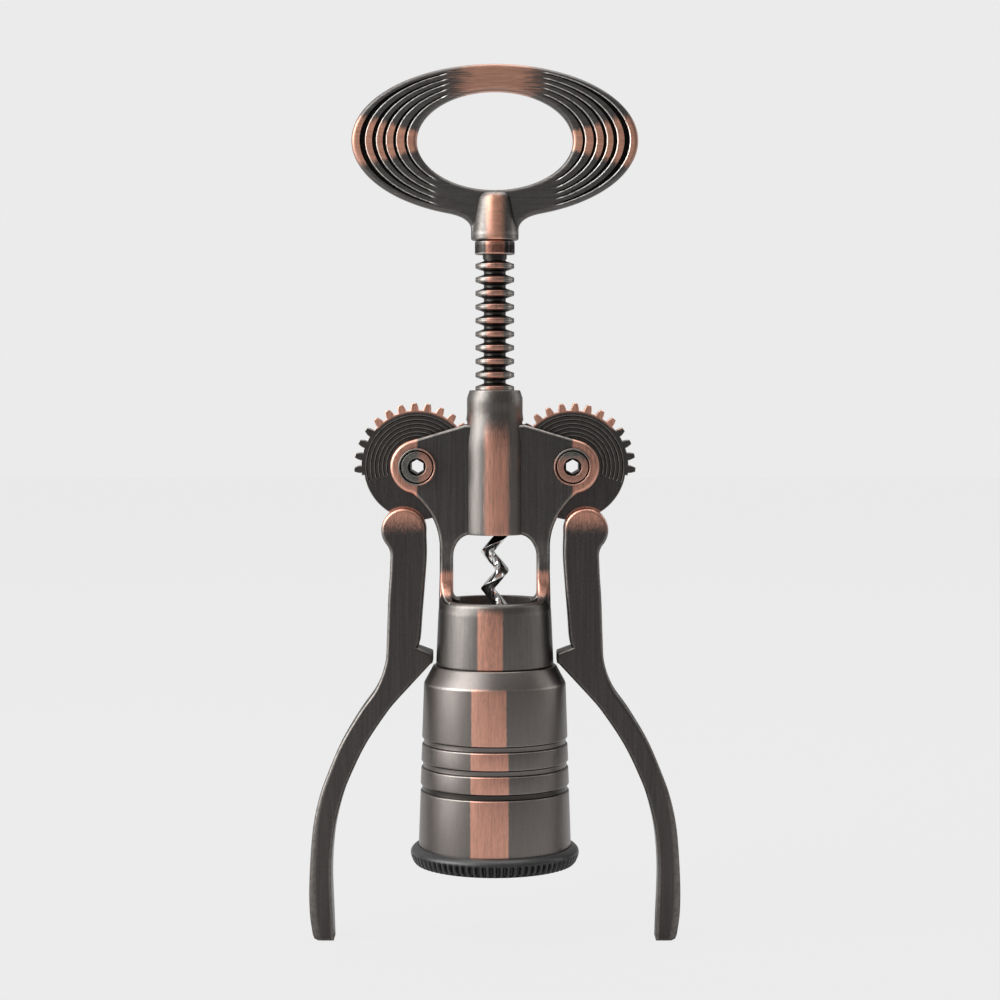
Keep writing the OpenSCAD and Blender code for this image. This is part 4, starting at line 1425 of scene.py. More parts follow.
        # The near-white edge colour at full share paints the highlight on the grooves' lit walls.
        finish = AgedPlate(
            "handle_plate", dark=rgb(0.105, 0.098, 0.094), light=rgb(0.24, 0.225, 0.215), patches=(
                Patch((-9.2, 221.5), (10.6, 234.0), (8.0, 0.5), (24.0, 0.5), (5.5, 0.22), 0.85), *sides,
                Patch((-1.8, 178.0), (2.3, 193.2), (2.6, 2.0), (1.4, 2.5), (0.35, 2.0))),
            copper=rgb(1.0, 0.51, 0.36), edge=rgb(0.90, 0.87, 0.84), turned_sheen_dark=rgb(0.12, 0.11, 0.10),
            turned_sheen_light=rgb(0.27, 0.25, 0.235), marks=(5.0, 0.3, 0.16), marks_share=0.3, speckle=0.2,
            edge_share=1.0, copper_wear=0.15, edge_tint=0.3, seed=2.0)
        add_piece("handle_fine", joined([self.ring(), self.hub().toned(1.0)]), Body.SPINDLE, "handle_casting",
                  finish.material(effects), "handle")


@dataclass(frozen=True)
class Wing:
    """A wing: lever with its round end and stop lug, gear plate with ring grooves, and teeth.

    All places are those of the left wing round its own pivot.

    Attributes:
        half_t: half the lever's thickness.
        gear_half_t: half the gear's thickness.
        plain_r: radius of the gear where it has no teeth.
        seam_r: radius at which disc and teeth meet.
        bore_r: radius of the bush's hole.
        pitch_r: pitch radius of the teeth.
        root_r: radius at their roots.
        teeth_round: teeth to the full circle.
        teeth_made: teeth that the sector has.
        half_tooth: half a tooth's thickness at the pitch radius.
        tooth_phase: angle of the second tooth.
        flank: angle of the flanks.
        groove_radii: radius of each ring groove.
        groove_depth: their depth.
        end: middle of the lever's round end.
        end_r: its radius.
        neck_r: radius of the hollow below it.
        lug_r: radius of the lug's corner.
        lug_gap: gap between lug and collar.
    """

    half_t: float = 5.0
    gear_half_t: float = 2.1
    plain_r: float = 15.5
    seam_r: float = 15.2
    bore_r: float = 4.03
    pitch_r: float = 17.5
    root_r: float = 16.24
    teeth_round: int = 28
    teeth_made: int = 16
    half_tooth: float = 0.894
    tooth_phase: float = 2.9
    flank: float = math.radians(20)
    groove_radii: tuple[float, ...] = (8.69, 9.79, 10.98, 12.17, 13.36, 14.64)
    groove_depth: float = 0.3
    end: Pair = (-3.93, -18.35)
    end_r: float = 6.42
    neck_r: float = 5.0
    lug_r: float = 0.6
    lug_gap: float = 0.85

    def lever_outline(self) -> np.ndarray:
        """The lever's outline: hollow neck, outer edge, tip, inner edge, lug, arm and round end.

        The tables give each edge as shares of the height above or below the lug's foot.

        Returns:
            The outline's points.
        """
        drop, tip = LAYOUT.lug_drop, LAYOUT.tip_drop
        arm_outer = np.array([[-0.143, -0.55], [-0.151, -0.669], [-0.158, -0.871], [-0.167, -0.99]]) * drop
        arm_inner = np.array([[0.002, -0.908], [0.014, -0.871], [0.023, -0.749], [0.036, -0.589],
                              [0.045, -0.45]]) * drop
        outer = np.array([[-0.153, -0.081], [-0.214, -0.168], [-0.283, -0.283], [-0.333, -0.399], [-0.362, -0.486],
                          [-0.384, -0.602], [-0.394, -0.776], [-0.392, -0.896], [-0.380, -0.977]]) * tip - [0, drop]
        outer[:, 0] += np.array([0.35, 0.40, 0.45, 0.45, 0.40, 0.35, 0.20, 0.10, 0.0])
        arm_outer[:, 0] += 0.28
        foot = np.array([[-0.374, -0.993], [-0.359, -1], [-0.304, -1]]) * tip - [0, drop]
        inner = np.array([[-0.304, -0.920], [-0.312, -0.746], [-0.304, -0.602], [-0.279, -0.486], [-0.247, -0.399],
                          [-0.191, -0.283], [-0.113, -0.168], [-0.061, -0.110]]) * tip - [0, drop]
        inner[:, 0] += np.array([-0.2, 0.0, 0.25, 0.40, 0.45, 0.50, 0.40, 0.15])
        end = np.array(self.end)
        neck_x = -0.139 * drop - self.neck_r + 0.28
        neck_z = end[1] - math.sqrt((self.end_r + self.neck_r) ** 2 - (end[0] - neck_x) ** 2)
        lean = math.degrees(math.atan2(end[1] - neck_z, end[0] - neck_x))
        lug = arc((LAYOUT.pivot_x - LAYOUT.collar_r - self.lug_gap - self.lug_r, 1.1 - drop), self.lug_r, -90, 0, 4)
        up = spline(np.concatenate([arm_inner, [end + [self.end_r - 0.06, -1.2]]]), 5)
        return np.concatenate([
            arc((neck_x, neck_z), self.neck_r, lean, 0, 10), spline(np.concatenate([arm_outer, outer]), 6), foot,
            spline(inner, 6), lug, [[4.47, 3.2 - drop], [4.3, 3.73 - drop]], up[:-1],
            arc(self.end, self.end_r, 0, 180 + lean, 44)[:-1]])

    def lever(self) -> Shell:
        """The lever's plate; its outer front edge is cut back further and further towards the tip.

        Returns:
            The lever.
        """
        outline = refined(self.lever_outline(), 1.0)
        outer_side = np.clip(unit(inward(outline))[:, 0], 0, 1) ** 0.5
        rim = Rim(1.0 + 1.7 * ramp(-outline[:, 1], 70, 132) * outer_side, 1.0, 5, 0.32)
        return plate(outline, -self.half_t, self.half_t, rim, rim)

    def gear_disc(self) -> Shell:
        """The gear's plate inside the teeth, with ring grooves in both faces over the toothed part.

        Returns:
            The disc, open at the seam.
        """
        corner, edge, segments = 0.12, 0.15, 256
        profile = [[self.bore_r, corner, 0], [self.bore_r + corner, 0, 0]]
        for r in self.groove_radii:
            profile += [[r - edge - 0.25, 0, 0], [r - edge, 0, 0], [r, self.groove_depth, 0], [r + edge, 0, 0.9],
                        [r + edge + 0.25, 0, 0]]
        profile += [[self.seam_r, 0, 0]]
        r, level, mark = np.array(profile)[:, :, None].swapaxes(0, 1)
        turn = (np.degrees(np.arange(segments) * FULL_TURN / segments) + 90) % 360 - 90
        mask = ramp(turn, -30, -24) * (1 - ramp(turn, 194, 200))
        heights = -self.gear_half_t + level * np.where(level == corner, 1.0, mask)
        # Each groove's outer lip gets the edge mark, a painted highlight line, and its floor painted shade.
        wear_and_glint, deep = mark * mask, 0.25 * (level == self.groove_depth) * mask
        return revolved(np.concatenate([r[::-1], r]) + 0 * turn, np.concatenate([heights[::-1], -heights]),
                        np.concatenate([wear_and_glint[::-1], wear_and_glint]), np.concatenate([deep[::-1], deep]),
                        False).placed(AXIS_TO_Y)

    def teeth(self) -> Shell:
        """The ring of teeth: each flank is an involute, sampled at five radii from base circle to tip.

        Returns:
            The teeth, open at the seam.
        """
        base = self.pitch_r * math.cos(self.flank)
        radii = np.array([base, (base + self.pitch_r) / 2, self.pitch_r, 17.9, LAYOUT.gear_tip_r])
        slope = np.arccos(np.minimum(1, base / radii))
        half = np.degrees(self.half_tooth / self.pitch_r + math.tan(self.flank) - self.flank
                          - (np.tan(slope) - slope))
        pitch = 360 / self.teeth_round
        r_one = np.concatenate([[self.root_r, self.root_r], radii, radii[::-1], [self.root_r, self.root_r]])
        a_one = np.concatenate([[-pitch / 2, -half[0]], -half, half[::-1], [half[0], pitch / 2]])
        centres = self.tooth_phase + pitch * np.arange(-1, self.teeth_made - 1)
        r = np.tile(r_one, len(centres))
        a = np.radians((a_one[None] + centres[:, None]).ravel())
        toothed = np.stack([r * np.cos(a), r * np.sin(a)], 1)
        keep = np.ones(len(toothed), bool)
        keep[1:] = np.linalg.norm(np.diff(toothed, axis=0), axis=1) > 0.02
        plain = arc((0, 0), self.plain_r, math.degrees(a[-1]), 360 + math.degrees(a[0]), 90)
        rim = Rim(0.18, 0.18, 3, 1.0)
        return plate(np.concatenate([toothed[keep], plain]), -self.gear_half_t, self.gear_half_t, rim, rim,
                     (circle((0, 0), self.seam_r, 256),), margin=0.05, lined=False)

    def finish(self, side: Side, body: Body) -> AgedPlate:
        """The finish of one wing, rubbed on the teeth over the pivot and on the lever's round end.

        Args:
            side: the wing's side.
            body: the body that it moves with.

        Returns:
            The finish.
        """
        x, end_x = side.value * LAYOUT.pivot_x, side.value * (LAYOUT.pivot_x + 4.06)
        return AgedPlate(
            f"{body.value}_plate", dark=rgb(0.066, 0.060, 0.058), light=rgb(0.15, 0.138, 0.132), patches=(
                Patch((x - 12.5, 126.0), (x + 14.0, 141.0), (1.5, 1.0), (2.0, 1.0), (0.6, 2.0), 1.0,
                      (x, LAYOUT.pivot_z, 15.7, 30.0)),
                Patch((end_x - 7.5, 98.9), (end_x + 7.5, 106.0), (0.5, 6.5), (0.5, 8.0), (0.35, 0.8), 1.0,
                      (end_x, LAYOUT.pivot_z - 18.2, -1.0, 6.65))),
            copper=rgb(0.88, 0.44, 0.32), marks=(0.2, 0.2, 8.0), marks_share=0.25, speckle=0.2, edge_share=0.8,
            copper_wear=0.35, edge_tint=0.9, seed=3.0 + side.value)

    def build(self, effects: Effects) -> None:
        """Builds and dresses both wings.

        Args:
            effects: the shared groups.
        """
        made = joined([self.lever(), self.gear_disc(), self.teeth()])
        for side, body, turn in ((Side.LEFT, Body.LEFT_WING, SAME), (Side.RIGHT, Body.RIGHT_WING, MIRROR_X)):
            add_piece(f"{body.value}_fine", made.placed(turn, LAYOUT.pivot(side)), body, "lever_casting",
                      self.finish(side, body).material(effects), body.value)


@dataclass(frozen=True)
class Pivots:
    """The headed screws and the ring nuts of both pivots, each round its own axis along Y.

    Attributes:
        head_r: radius of heads and nuts.
        head_y: distance of their outer faces from the middle.
        shank_r: radius of a screw's shank.
        end_y: distance of its rear end from the middle.
        socket_r: radius from which the hexagon leads in.
        flat_r: half the hexagon's width over its flats.
        nut_r: radius of a nut's hole.
    """

    head_r: float = 5.35
    head_y: float = 6.8
    shank_r: float = 3.0
    end_y: float = 6.44
    socket_r: float = 2.0
    flat_r: float = 1.85
    nut_r: float = 3.03

    def screw(self) -> Shell:
        """A pivot screw: dished head, cone and a hexagon that goes right through.

        Returns:
            The screw.
        """
        profile, wear_and_glint, deep = softened([
            [self.socket_r, self.end_y], [self.socket_r, -6.0], [2.5, -6.25], [2.62, -6.5], [4.4, -6.5],
            [4.55, -6.2], [4.8, -6.2], [4.95, -self.head_y], [self.head_r, -self.head_y],
            [self.head_r, -LAYOUT.ear_y], [self.shank_r, -LAYOUT.ear_y], [self.shank_r, self.end_y]],
            [0.2, 0.1, 0.1, 0.1, 0.12, 0.08, 0.08, 0.12, 0.15, 0.1, 0.2, 0.2], 3)
        # The hexagon's lead-in cone and the ditch round the head get the deep mark: painted shade.
        cone = (profile[:, 0] < 2.58) & (profile[:, 1] < 0)
        ditch = (np.abs(profile[:, 0] - 4.68) < 0.16) & (profile[:, 1] > -6.35) & (profile[:, 1] < -6)
        segments = 144
        angle = np.degrees(np.arange(segments) * FULL_TURN / segments)
        hexagon = self.flat_r / np.cos(np.radians((angle + 30) % 60 - 30))
        six = (profile[:, :1] < 2.12).astype(float)
        return revolved(profile[:, :1] * (1 - six) + hexagon[None] * six, profile[:, 1:], np.where(cone, 0, wear_and_glint),
                        np.maximum(deep, 0.9 * cone + 0.8 * ditch)).placed(AXIS_TO_Y)

    def nut(self) -> Shell:
        """A ring nut behind the ears.

        Returns:
            The nut.
        """
        return turned(softened([[self.nut_r, LAYOUT.ear_y], [self.head_r, LAYOUT.ear_y], [self.head_r, self.head_y],
                                [self.nut_r, self.head_y]], [0.1, 0.2, 0.5, 0.5])).placed(AXIS_TO_Y)

    def build(self, effects: Effects) -> None:
        """Builds and dresses the screws and nuts.

        Args:
            effects: the shared groups.
        """
        finish = AgedPlate(
            "pivot_plate", dark=rgb(0.10, 0.10, 0.09), light=rgb(0.26, 0.25, 0.23), patches=(
                Patch((-21.6, 108.0), (-16.0, 122.0), (2.5, 1.0), (3.0, 1.0), (0.8, 0.8), 0.9),
                Patch((16.0, 108.0), (30.0, 117.5), (2.5, 3.0), (3.0, 4.0), (0.8, 0.8), 0.9)),
            marks=(0.5, 0.5, 0.5), marks_share=0.3, speckle=0.9, copper_wear=0.6, edge_share=0.7,
            seed=6.0).material(effects)
        for side in Side:
            for kind, shell in (("screw", self.screw()), ("nut", self.nut())):
                add_piece(f"{side.name.lower()}_{kind}_fine", shell.placed(SAME, LAYOUT.pivot(side)), Body.FRAME,
                          "pivot_hardware", finish, f"{side.name.lower()}_pivot_{kind}")


@dataclass(frozen=True)
class Shaft:
    """The shaft with its ring-shaped rack teeth, and the loose ring under the hub.

    Attributes:
        root_r: radius between the rack's teeth.
        tooth_r: radius at a tooth's crest.
        first_z: height of the tooth that is counted as 0.
        pitch: distance between two teeth.
        teeth: numbers of the first tooth and past the last.
        bore_r: radius of the bore for the worm.
        foot_z: height of the shaft's lower end.
        neck_z: height at which the plain neck starts.
        shoulder_z: height of the shoulder under the hub.
        top_z: height of the tenon's end.
        ring_bore_r: radius of the loose ring's hole.
        ring_r: its outer radius.
        ring_z: heights of its faces.
        flutes: angles of its short flutes.
        flute_depth: their depth.
    """

    root_r: float = 3.15
    tooth_r: float = 5.63
    first_z: float = 118.15
    pitch: float = 3.927
    teeth: tuple[int, int] = (-3, 15)
    bore_r: float = 1.75
    foot_z: float = 104.4
    neck_z: float = 175.1
    shoulder_z: float = 180.57
    top_z: float = 190.6
    ring_bore_r: float = 3.55
    ring_r: float = 5.75
    ring_z: Pair = (176.45, 180.35)
    flutes: tuple[int, ...] = (309, 324, 338)
    flute_depth: float = 0.4

    def rack(self) -> Shell:
        """The shaft: ring-shaped rack teeth, a plain neck and the tenon in the hub.

        Returns:
            The shaft.
        """
        neck_r = 3.47
        points, radii = [[self.bore_r, self.foot_z], [self.root_r, self.foot_z]], [0.1, 0.2]
        for k in range(*self.teeth):
            z = self.first_z + k * self.pitch
            points += [[self.root_r, z - 1.48], [5.58, z - 0.66], [self.tooth_r, z], [5.58, z + 0.66],
                       [self.root_r, z + 1.48]]
            radii += [0.35, 0.18, 0.3, 0.18, 0.35]
        points += [[self.root_r, self.neck_z], [neck_r, self.neck_z], [neck_r, self.shoulder_z],
                   [self.root_r, self.shoulder_z], [self.root_r, self.top_z], [self.bore_r, self.top_z]]
        radii += [0.1, 0.1, 0.1, 0.1, 0.2, 0.1]
        outline, wear_and_glint, _ = softened(points, radii, 4)
        # Between the teeth the deep mark paints shade, darker towards the roots.
        return turned((outline, wear_and_glint, 0.65 * (1 - ramp(outline[:, 0], 3.3, 5.1))))

    def loose_ring(self) -> Shell:
        """The loose ring: each flute is a bell curve of the angle, cut into the outer face.

        Returns:
            The ring.
        """
        low, high = self.ring_z
        steps, inset = 6, 1.15
        points, wear_and_glint, deep = softened([[self.ring_bore_r, low], [self.ring_r, low], [self.ring_r, high],
                                       [self.ring_bore_r, high]], [0.1, 0.45, 0.45, 0.1], steps)
        # Both added heights come before the lower corner's last row, so the wall runs over itself between them
        middle = 2 * [2 * steps + 1]
        points = np.insert(points, middle, [[self.ring_r, low + inset], [self.ring_r, high - inset]], 0)
        wear_and_glint, deep = (np.insert(mark, middle, 0) for mark in (wear_and_glint, deep))
        angle = np.arange(360) * 1.0
        flute = np.exp(-(((angle - np.array(self.flutes)[:, None] + 180) % 360 - 180) / 2.0) ** 2).sum(0)
        # The flutes are cut in and also painted dark: painted shade.
        cut = (points[:, :1] > 4.8) * flute
        return revolved(points[:, :1] - self.flute_depth * cut, points[:, 1:], wear_and_glint,
                        np.clip(deep[:, None] + cut, 0, 1))

    def build(self, effects: Effects) -> None:
        """Builds and dresses the shaft and the loose ring.

        Args:
            effects: the shared groups.
        """
        steel = AgedPlate(
            "shaft_plate", dark=rgb(0.10, 0.092, 0.085), light=rgb(0.24, 0.22, 0.20),
            patches=(Patch((-2.2, 100.0), (2.5, 181.0), (1.2, 1.0), (1.0, 0.5), (0.5, 0.7), 0.9),),
            marks=(0.4, 0.4, 4.0), edge_share=0.5, seed=7.0)
        black = AgedPlate(
            "collar_plate", dark=rgb(0.05, 0.045, 0.042), light=rgb(0.16, 0.15, 0.14),
            patches=(Patch((-2.6, 176.0), (2.8, 181.0), (0.4, 0.5), (0.4, 0.2), (0.4, 3.0)),),
            marks=(0.3, 0.3, 2.0), seed=8.0)
        add_piece("rack_shaft_fine", self.rack(), Body.SPINDLE, "shaft_steel", steel.material(effects), "rack_shaft")
        add_piece("shaft_collar_fine", self.loose_ring(), Body.CARRIER, "collar_black", black.material(effects),
                  "shaft_collar")


@dataclass(frozen=True)
class Worm:
    """The worm: a bar with a sharp outer edge along a screw line that draws in to the shank above.

    At share u of its length the bar's middle lies at angle -90 - 360 n u, at reach coil_r min(1, u / 0.12) and
    at height top_z - pitch n u, with n turns. Its size falls to a point over the last tenth.

    Attributes:
        wire: the bar's size against its section's.
        coil_r: radius of the screw line.
        pitch: its rise in a turn.
        top_z: height at which it starts.
        tip_z: height of the tip.
        shank_r: radius of the shank.
        shank_z: heights of its ends.
    """

    wire: float = 1.5
    coil_r: float = 2.4
    pitch: float = 10.7
    top_z: float = 103.9
    tip_z: float = 53.75
    shank_r: float = 1.7
    shank_z: Pair = (103.4, 113.7)

    def shell(self) -> Shell:
        """The bar and its shank.

        Returns:
            The worm.
        """
        turns = (self.top_z - self.tip_z) / self.pitch
        section = softened([
            [1.1, 0], [0.35, 0.66], [-0.5, 1.0], [-1.25, 0.75], [-1.5, 0], [-1.25, -0.75], [-0.5, -1.0],
            [0.35, -0.66]], [0.06, 0.3, 0.3, 0.3, 0.3, 0.3, 0.3, 0.3], 3)[0]
        u = np.linspace(0, 1, round(turns * 56) + 1)[:, None]
        angle = np.radians(-90) - FULL_TURN * turns * u
        reach = self.coil_r * np.minimum(1, u / 0.12)
        size = self.wire * np.minimum(1, (1 - u) / 0.10 + 0.12)
        far = reach + np.maximum(size * section[:, 0], -0.9 * reach)
        up = 1.15 * size * section[:, 1]
        lean = math.atan2(self.pitch, FULL_TURN * self.coil_r)
        x = far * np.cos(angle) + up * np.sin(angle) * math.sin(lean)
        y = far * np.sin(angle) - up * np.cos(angle) * math.sin(lean)
        z = self.top_z - self.pitch * turns * u + up * math.cos(lean)
        # The sharp outer edge gets the edge mark: a painted highlight.
        coil = swept(np.stack([x, y, z], 2), np.where(section[:, 0] > 0.8, 1.0, 0.0))
        low, high = self.shank_z
        shank = turned(softened([[0, low], [self.shank_r, low], [self.shank_r, high], [0, high]],
                                [0, 0.3, 0.3, 0], 4, closed=False), 64, closed=False)
        return joined([coil, shank])

    def build(self, effects: Effects) -> None:
        """Builds and dresses the worm.

        Args:
            effects: the shared groups.
        """
        finish = Plain("worm_polish", rgb(0.86, 0.85, 0.84), 1.0, (0.08, 0.18), 0.3, 300.0, 0.01, 9.0,
                       rgb(0.7, 0.68, 0.66), 0.5)
        add_piece("worm_fine", self.shell(), Body.SPINDLE, "worm_steel", finish.material(effects), "worm")


@dataclass(frozen=True)
class Bell:
    """The bell, a sleeve with three grooves and a coned shoulder, and the black ring round its mouth.

    Attributes:
        foot_r: the bell's outer radius, carried on down to height 0.
        cone: how much the radius falls for each millimetre of height.
        wall: thickness of its wall.
        foot_z: height of its lower edge.
        grooves: heights of the grooves.
        groove_depth: their depth.
        spigot_r: radius of the hole for the frame's spigot.
        top_z: height of its upper face.
        ribs: number of the black ring's ribs.
        rib_depth: depth of the gaps between them.
        ring_r: radius of the black ring's hole.
        ring_step_z: height of the step under the bell's edge.
    """

    foot_r: float = 22.3
    cone: float = 0.03327
    wall: float = 1.7
    foot_z: float = 1.4
    grooves: tuple[float, ...] = (22.35, 29.1, 35.85)
    groove_depth: float = 0.5
    spigot_r: float = 15.93
    top_z: float = 57.65
    ribs: int = 76
    rib_depth: float = 0.95
    ring_r: float = 20.6
    ring_step_z: float = 1.37

    def radius(self, z: float | np.ndarray) -> float | np.ndarray:
        """The outer radius at a height."""
        return self.foot_r - self.cone * z

    def sleeve(self) -> Shell:
        """The bell.

        Returns:
            The sleeve.
        """
        foot = self.radius(self.foot_z)
        points, radii = [[foot - self.wall, self.foot_z], [foot, self.foot_z]], [0.3, 0.3]
        for z in self.grooves:
            r = self.radius(z)
            points += [[r, z - 1.0], [r - self.groove_depth, z - 0.75], [r - self.groove_depth, z + 0.75],
                       [r, z + 1.0]]
            radii += 4 * [0.25]
        points += [[20.55, 52.6], [17.8, self.top_z], [self.spigot_r, self.top_z], [self.spigot_r, 49.0],
                   [self.radius(47) - self.wall, 47.05]]
        radii += [0.5, 0.35, 0.2, 0.3, 0.3]
        outline, wear_and_glint, deep = softened(points, radii)
        # Groove floors get the deep mark: painted shade, with no rubbed copper.
        floor = (outline[:, 0] < self.radius(outline[:, 1]) - 0.38) & (outline[:, 0] > 21) & (outline[:, 1] < 40)
        return turned((outline, 0.7 * wear_and_glint, np.maximum(deep, 0.62 * floor)), 256)

    def base_ring(self) -> Shell:
        """The black ring: a rounded bead with ribs on its lower slope and under it.

        Returns:
            The ring.
        """
        points = softened([
            [self.ring_r, 0.0], [22.9, 0.0], [23.7, 0.9], [24.25, 2.3], [24.5, 3.5], [24.2, 4.3], [23.3, 5.2],
            [22.16, 5.5], [22.28, self.ring_step_z], [self.ring_r, self.ring_step_z]],
            [0.2, 0.7, 0.8, 0.5, 0.4, 0.5, 0.5, 0.2, 0.1, 0.1], 4)[0]
        each = 8
        share = (np.arange(self.ribs * each) % each) / each
        gap = np.clip(1.7 * (0.5 - 0.5 * np.cos(FULL_TURN * share)) - 0.35, 0, 1)
        row = ((1 - ramp(points[:, 1], 3.0, 3.6)) * (points[:, 0] > 22.5))[:, None]
        # The gaps between the ribs get the deep mark, which paints them towards black: painted shade.
        return revolved(points[:, :1] - self.rib_depth * row * gap, points[:, 1:], 0 * row[:, 0], row * gap)

    def build(self, effects: Effects) -> None:
        """Builds and dresses the bell and the black ring.

        Args:
            effects: the shared groups.
        """
        strips = [Patch(low, high, (0.4, fade), (0.8, ragged), (0.3, 2.0)) for low, high, fade, ragged in (
            ((-6.9, 4.0), (3.9, 21.5), 0.3, 0.2), ((-6.8, 23.2), (4.0, 28.3), 0.3, 0.2),
            ((-6.8, 29.9), (3.9, 35.0), 0.3, 0.2), ((-6.6, 36.7), (3.3, 52.8), 0.8, 1.5))]
        finish = AgedPlate(
            "bell_plate", dark=rgb(0.17, 0.152, 0.142), light=rgb(0.27, 0.243, 0.228), patches=tuple(strips),
            copper=rgb(0.78, 0.40, 0.30), marks=(0.15, 0.15, 3.0), marks_share=0.15, speckle=0.15,
            roughness=(0.30, 0.36), edge_share=0.5, seed=10.0)
        add_piece("bell_fine", self.sleeve(), Body.FRAME, "bell_shell", finish.material(effects), "bell")
        black = Plain("base_ring_black", rgb(0.032, 0.032, 0.0315), 0.0, (0.26, 0.40), 0.2, 1500.0, 0.01, 11.0)
        add_piece("base_ring_fine", self.base_ring(), Body.FRAME, "base_ring_black", black.material(effects),
                  "base_ring")


class Inside:
    """The hidden pieces that are shown as the solids that they are."""

    def build(self, effects: Effects) -> None:
        """Gives each its finish.

        Args:
            effects: the shared groups.
        """
        for plain, nodes in (
                (Plain("guide_nylon", rgb(0.03, 0.029, 0.028), 0.0, (0.35, 0.5), 0.2, 700.0, 0.01, 12.0),
                 ("neck_guide",)),
                (Plain("bush_bronze", rgb(0.42, 0.22, 0.10), 1.0, (0.3, 0.42), 0.2, 900.0, 0.008, 13.0),
                 ("left_gear_bush", "right_gear_bush")),
                (Plain("pin_steel", rgb(0.36, 0.35, 0.34), 1.0, (0.25, 0.36), 0.15, 900.0, 0.006, 14.0),
                 ("handle_pin", "worm_pin")),
                (Plain("washer_nylon", rgb(0.09, 0.088, 0.085), 0.0, (0.4, 0.55), 0.15, 800.0, 0.008, 15.0),
                 ("left_thrust_washers", "right_thrust_washers"))):
            material = plain.material(effects)
            for node in nodes:
                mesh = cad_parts[node].data
                mesh.materials.clear()
                mesh.materials.append(material)
                log.info("%s: the solid itself, in %s", node, plain.name)


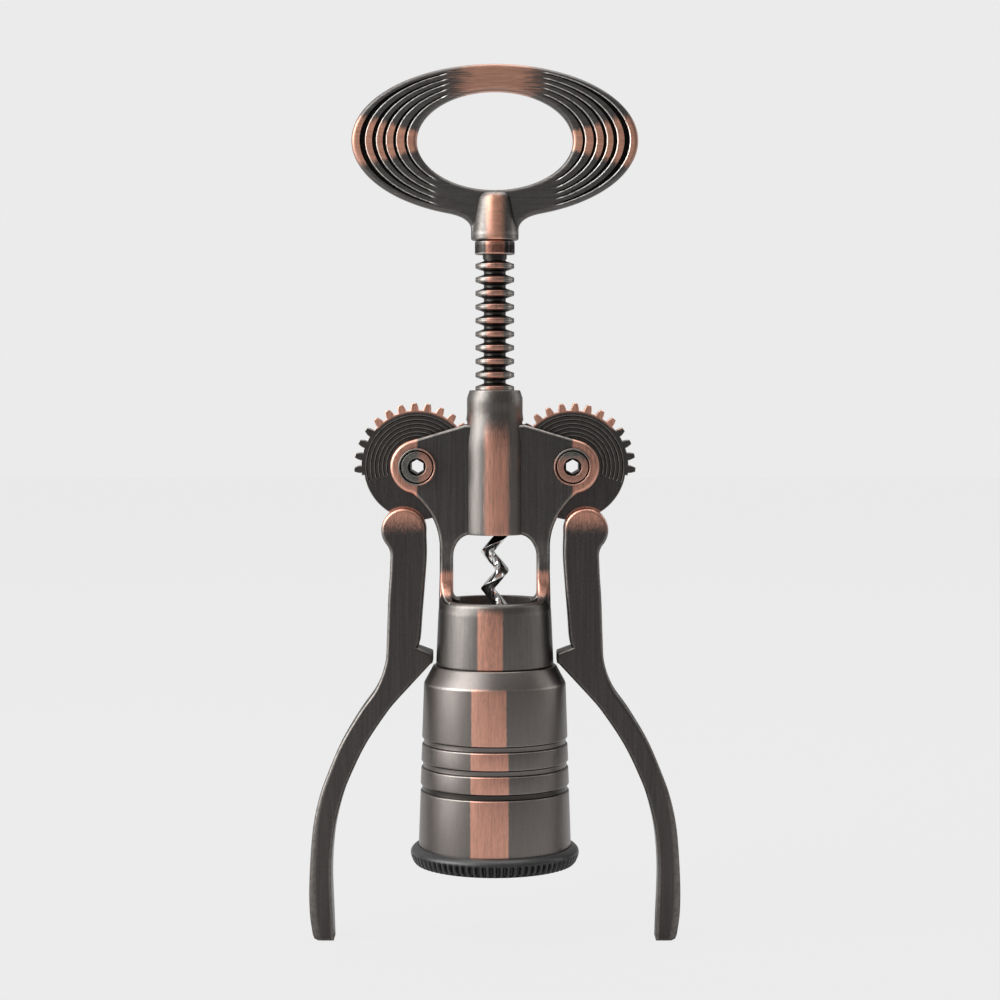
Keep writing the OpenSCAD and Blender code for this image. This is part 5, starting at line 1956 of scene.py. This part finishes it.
@dataclass(frozen=True)
class Studio:
    """Pale floor and backdrop, soft light and the photo's camera.

    Attributes:
        camera: the camera's place in metres.
        target: the place that it looks at.
        lens: its focal length in millimetres.
        sensor: its sensor's width in millimetres.
        shift: its shift down, as a share of the picture's width.
        floor_z: height of the floor.
        floor_half: half the floor's width.
        pale: brightness of floor and backdrop as the camera sees them.
        lamp_target: the place that the lights shine at.
        lamps: each light's name, place, width, height and power in watts.
    """

    camera: Place = (0.0015, -0.70, 0.143)
    target: Place = (0.0015, 0.0, 0.1229)
    lens: float = 87.06
    sensor: float = 36.0
    shift: float = -0.06
    floor_z: float = -0.0221
    floor_half: float = 3.0
    pale: float = 0.83
    lamp_target: Place = (0, 0, 0.11)
    lamps: tuple[tuple[str, Place, float, float, float], ...] = (
        ("key", (-0.75, -0.50, 0.70), 0.8, 0.9, 9.0), ("left_strip", (-0.85, -0.20, 0.20), 0.50, 1.0, 6.3),
        ("right_strip", (0.85, 0.25, 0.25), 0.22, 0.9, 1.3), ("top", (0.0, 0.1, 0.9), 0.8, 0.8, 5.0))

    def build(self) -> None:
        """Builds camera, world, floor and lights."""
        scene = bpy.context.scene
        scene.view_settings.view_transform = "Standard"
        data = bpy.data.cameras.new("camera")
        data.lens, data.sensor_width, data.clip_start, data.shift_y = self.lens, self.sensor, 0.01, self.shift
        scene.camera = self.aimed(data, self.camera, self.target)
        self.world()
        self.floor()
        for name, place, width, height, power in self.lamps:
            lamp = bpy.data.lights.new(name, "AREA")
            lamp.shape, lamp.size, lamp.size_y, lamp.energy = "RECTANGLE", width, height, power
            self.aimed(lamp, place, self.lamp_target)

    @staticmethod
    def aimed(data: bpy.types.Camera | bpy.types.Light, place: Place, target: Place) -> bpy.types.Object:
        """A camera or light in its place, turned towards its target.

        Args:
            data: the camera or light.
            place: its place.
            target: the place that it looks or shines at.

        Returns:
            Its object, linked to the scene.
        """
        made = bpy.data.objects.new(data.name, data)
        made.location = place
        made.rotation_euler = (Vector(target) - Vector(place)).to_track_quat("-Z", "Y").to_euler()
        bpy.context.scene.collection.objects.link(made)
        return made

    def world(self) -> None:
        """A pale backdrop for the camera; for the object a soft dome, pale behind and dim in front."""
        world = bpy.data.worlds.new("studio")
        bpy.context.scene.world = world
        graph = graph_of(world)
        x, y, z = graph.add("ShaderNodeSeparateXYZ", {0: graph.add("ShaderNodeTexCoord").outputs["Generated"]}).outputs
        back, left = graph.span(y, -0.2, 1.0, 0.165, 0.30), graph.span(x, -1.0, -0.3, 0.50, 0.0)
        right, up = graph.span(x, 0.75, 1.0, 0.0, 0.17), graph.span(z, 0.3, 1.0, 0.0, 0.35)
        dome = graph.math("ADD", graph.math("ADD", back, left), graph.math("ADD", right, up))
        seen = graph.add("ShaderNodeLightPath").outputs["Is Camera Ray"]
        strength = graph.add("ShaderNodeMix", {0: seen, 2: dome, 3: self.pale}, data_type="FLOAT").outputs[0]
        light = graph.add("ShaderNodeBackground", {"Color": rgb(1, 1, 1), "Strength": strength})
        graph.add("ShaderNodeOutputWorld", {"Surface": light.outputs[0]})

    def floor(self) -> None:
        """The floor, which keeps a faint shadow."""
        corners = self.floor_half * np.array([[-1, -1], [1, -1], [1, 1], [-1, 1]])
        mesh = bpy.data.meshes.new("floor")
        mesh.from_pydata(np.insert(corners, 2, self.floor_z, 1).tolist(), [], [(0, 1, 2, 3)])
        floor = bpy.data.objects.new("floor", mesh)
        bpy.context.scene.collection.objects.link(floor)
        made = bpy.data.materials.new("floor_pale")
        graph = graph_of(made)
        diffuse = graph.add("ShaderNodeBsdfDiffuse", {"Color": rgb(0.55, 0.55, 0.55), "Roughness": 0.5})
        glow = graph.add("ShaderNodeEmission", {"Color": rgb(self.pale, self.pale, self.pale), "Strength": 1.0115})
        path = graph.add("ShaderNodeLightPath").outputs
        share = graph.times(graph.math("MAXIMUM", path["Is Camera Ray"], path["Is Transmission Ray"]), 0.96)
        mixed = graph.add("ShaderNodeMixShader", {0: share, 1: diffuse.outputs[0], 2: glow.outputs[0]})
        graph.add("ShaderNodeOutputMaterial", {"Surface": mixed.outputs[0]})
        mesh.materials.append(made)


def main() -> None:
    """Builds the object and its studio."""
    effects = Effects()
    for part in (FrameCasting(), Handle(), Wing(), Pivots(), Shaft(), Worm(), Bell(), Inside()):
        part.build(effects)
    Studio().build()


if __name__ == "__main__":
    logging.basicConfig(level=logging.INFO, format="%(name)s: %(message)s")
    main()
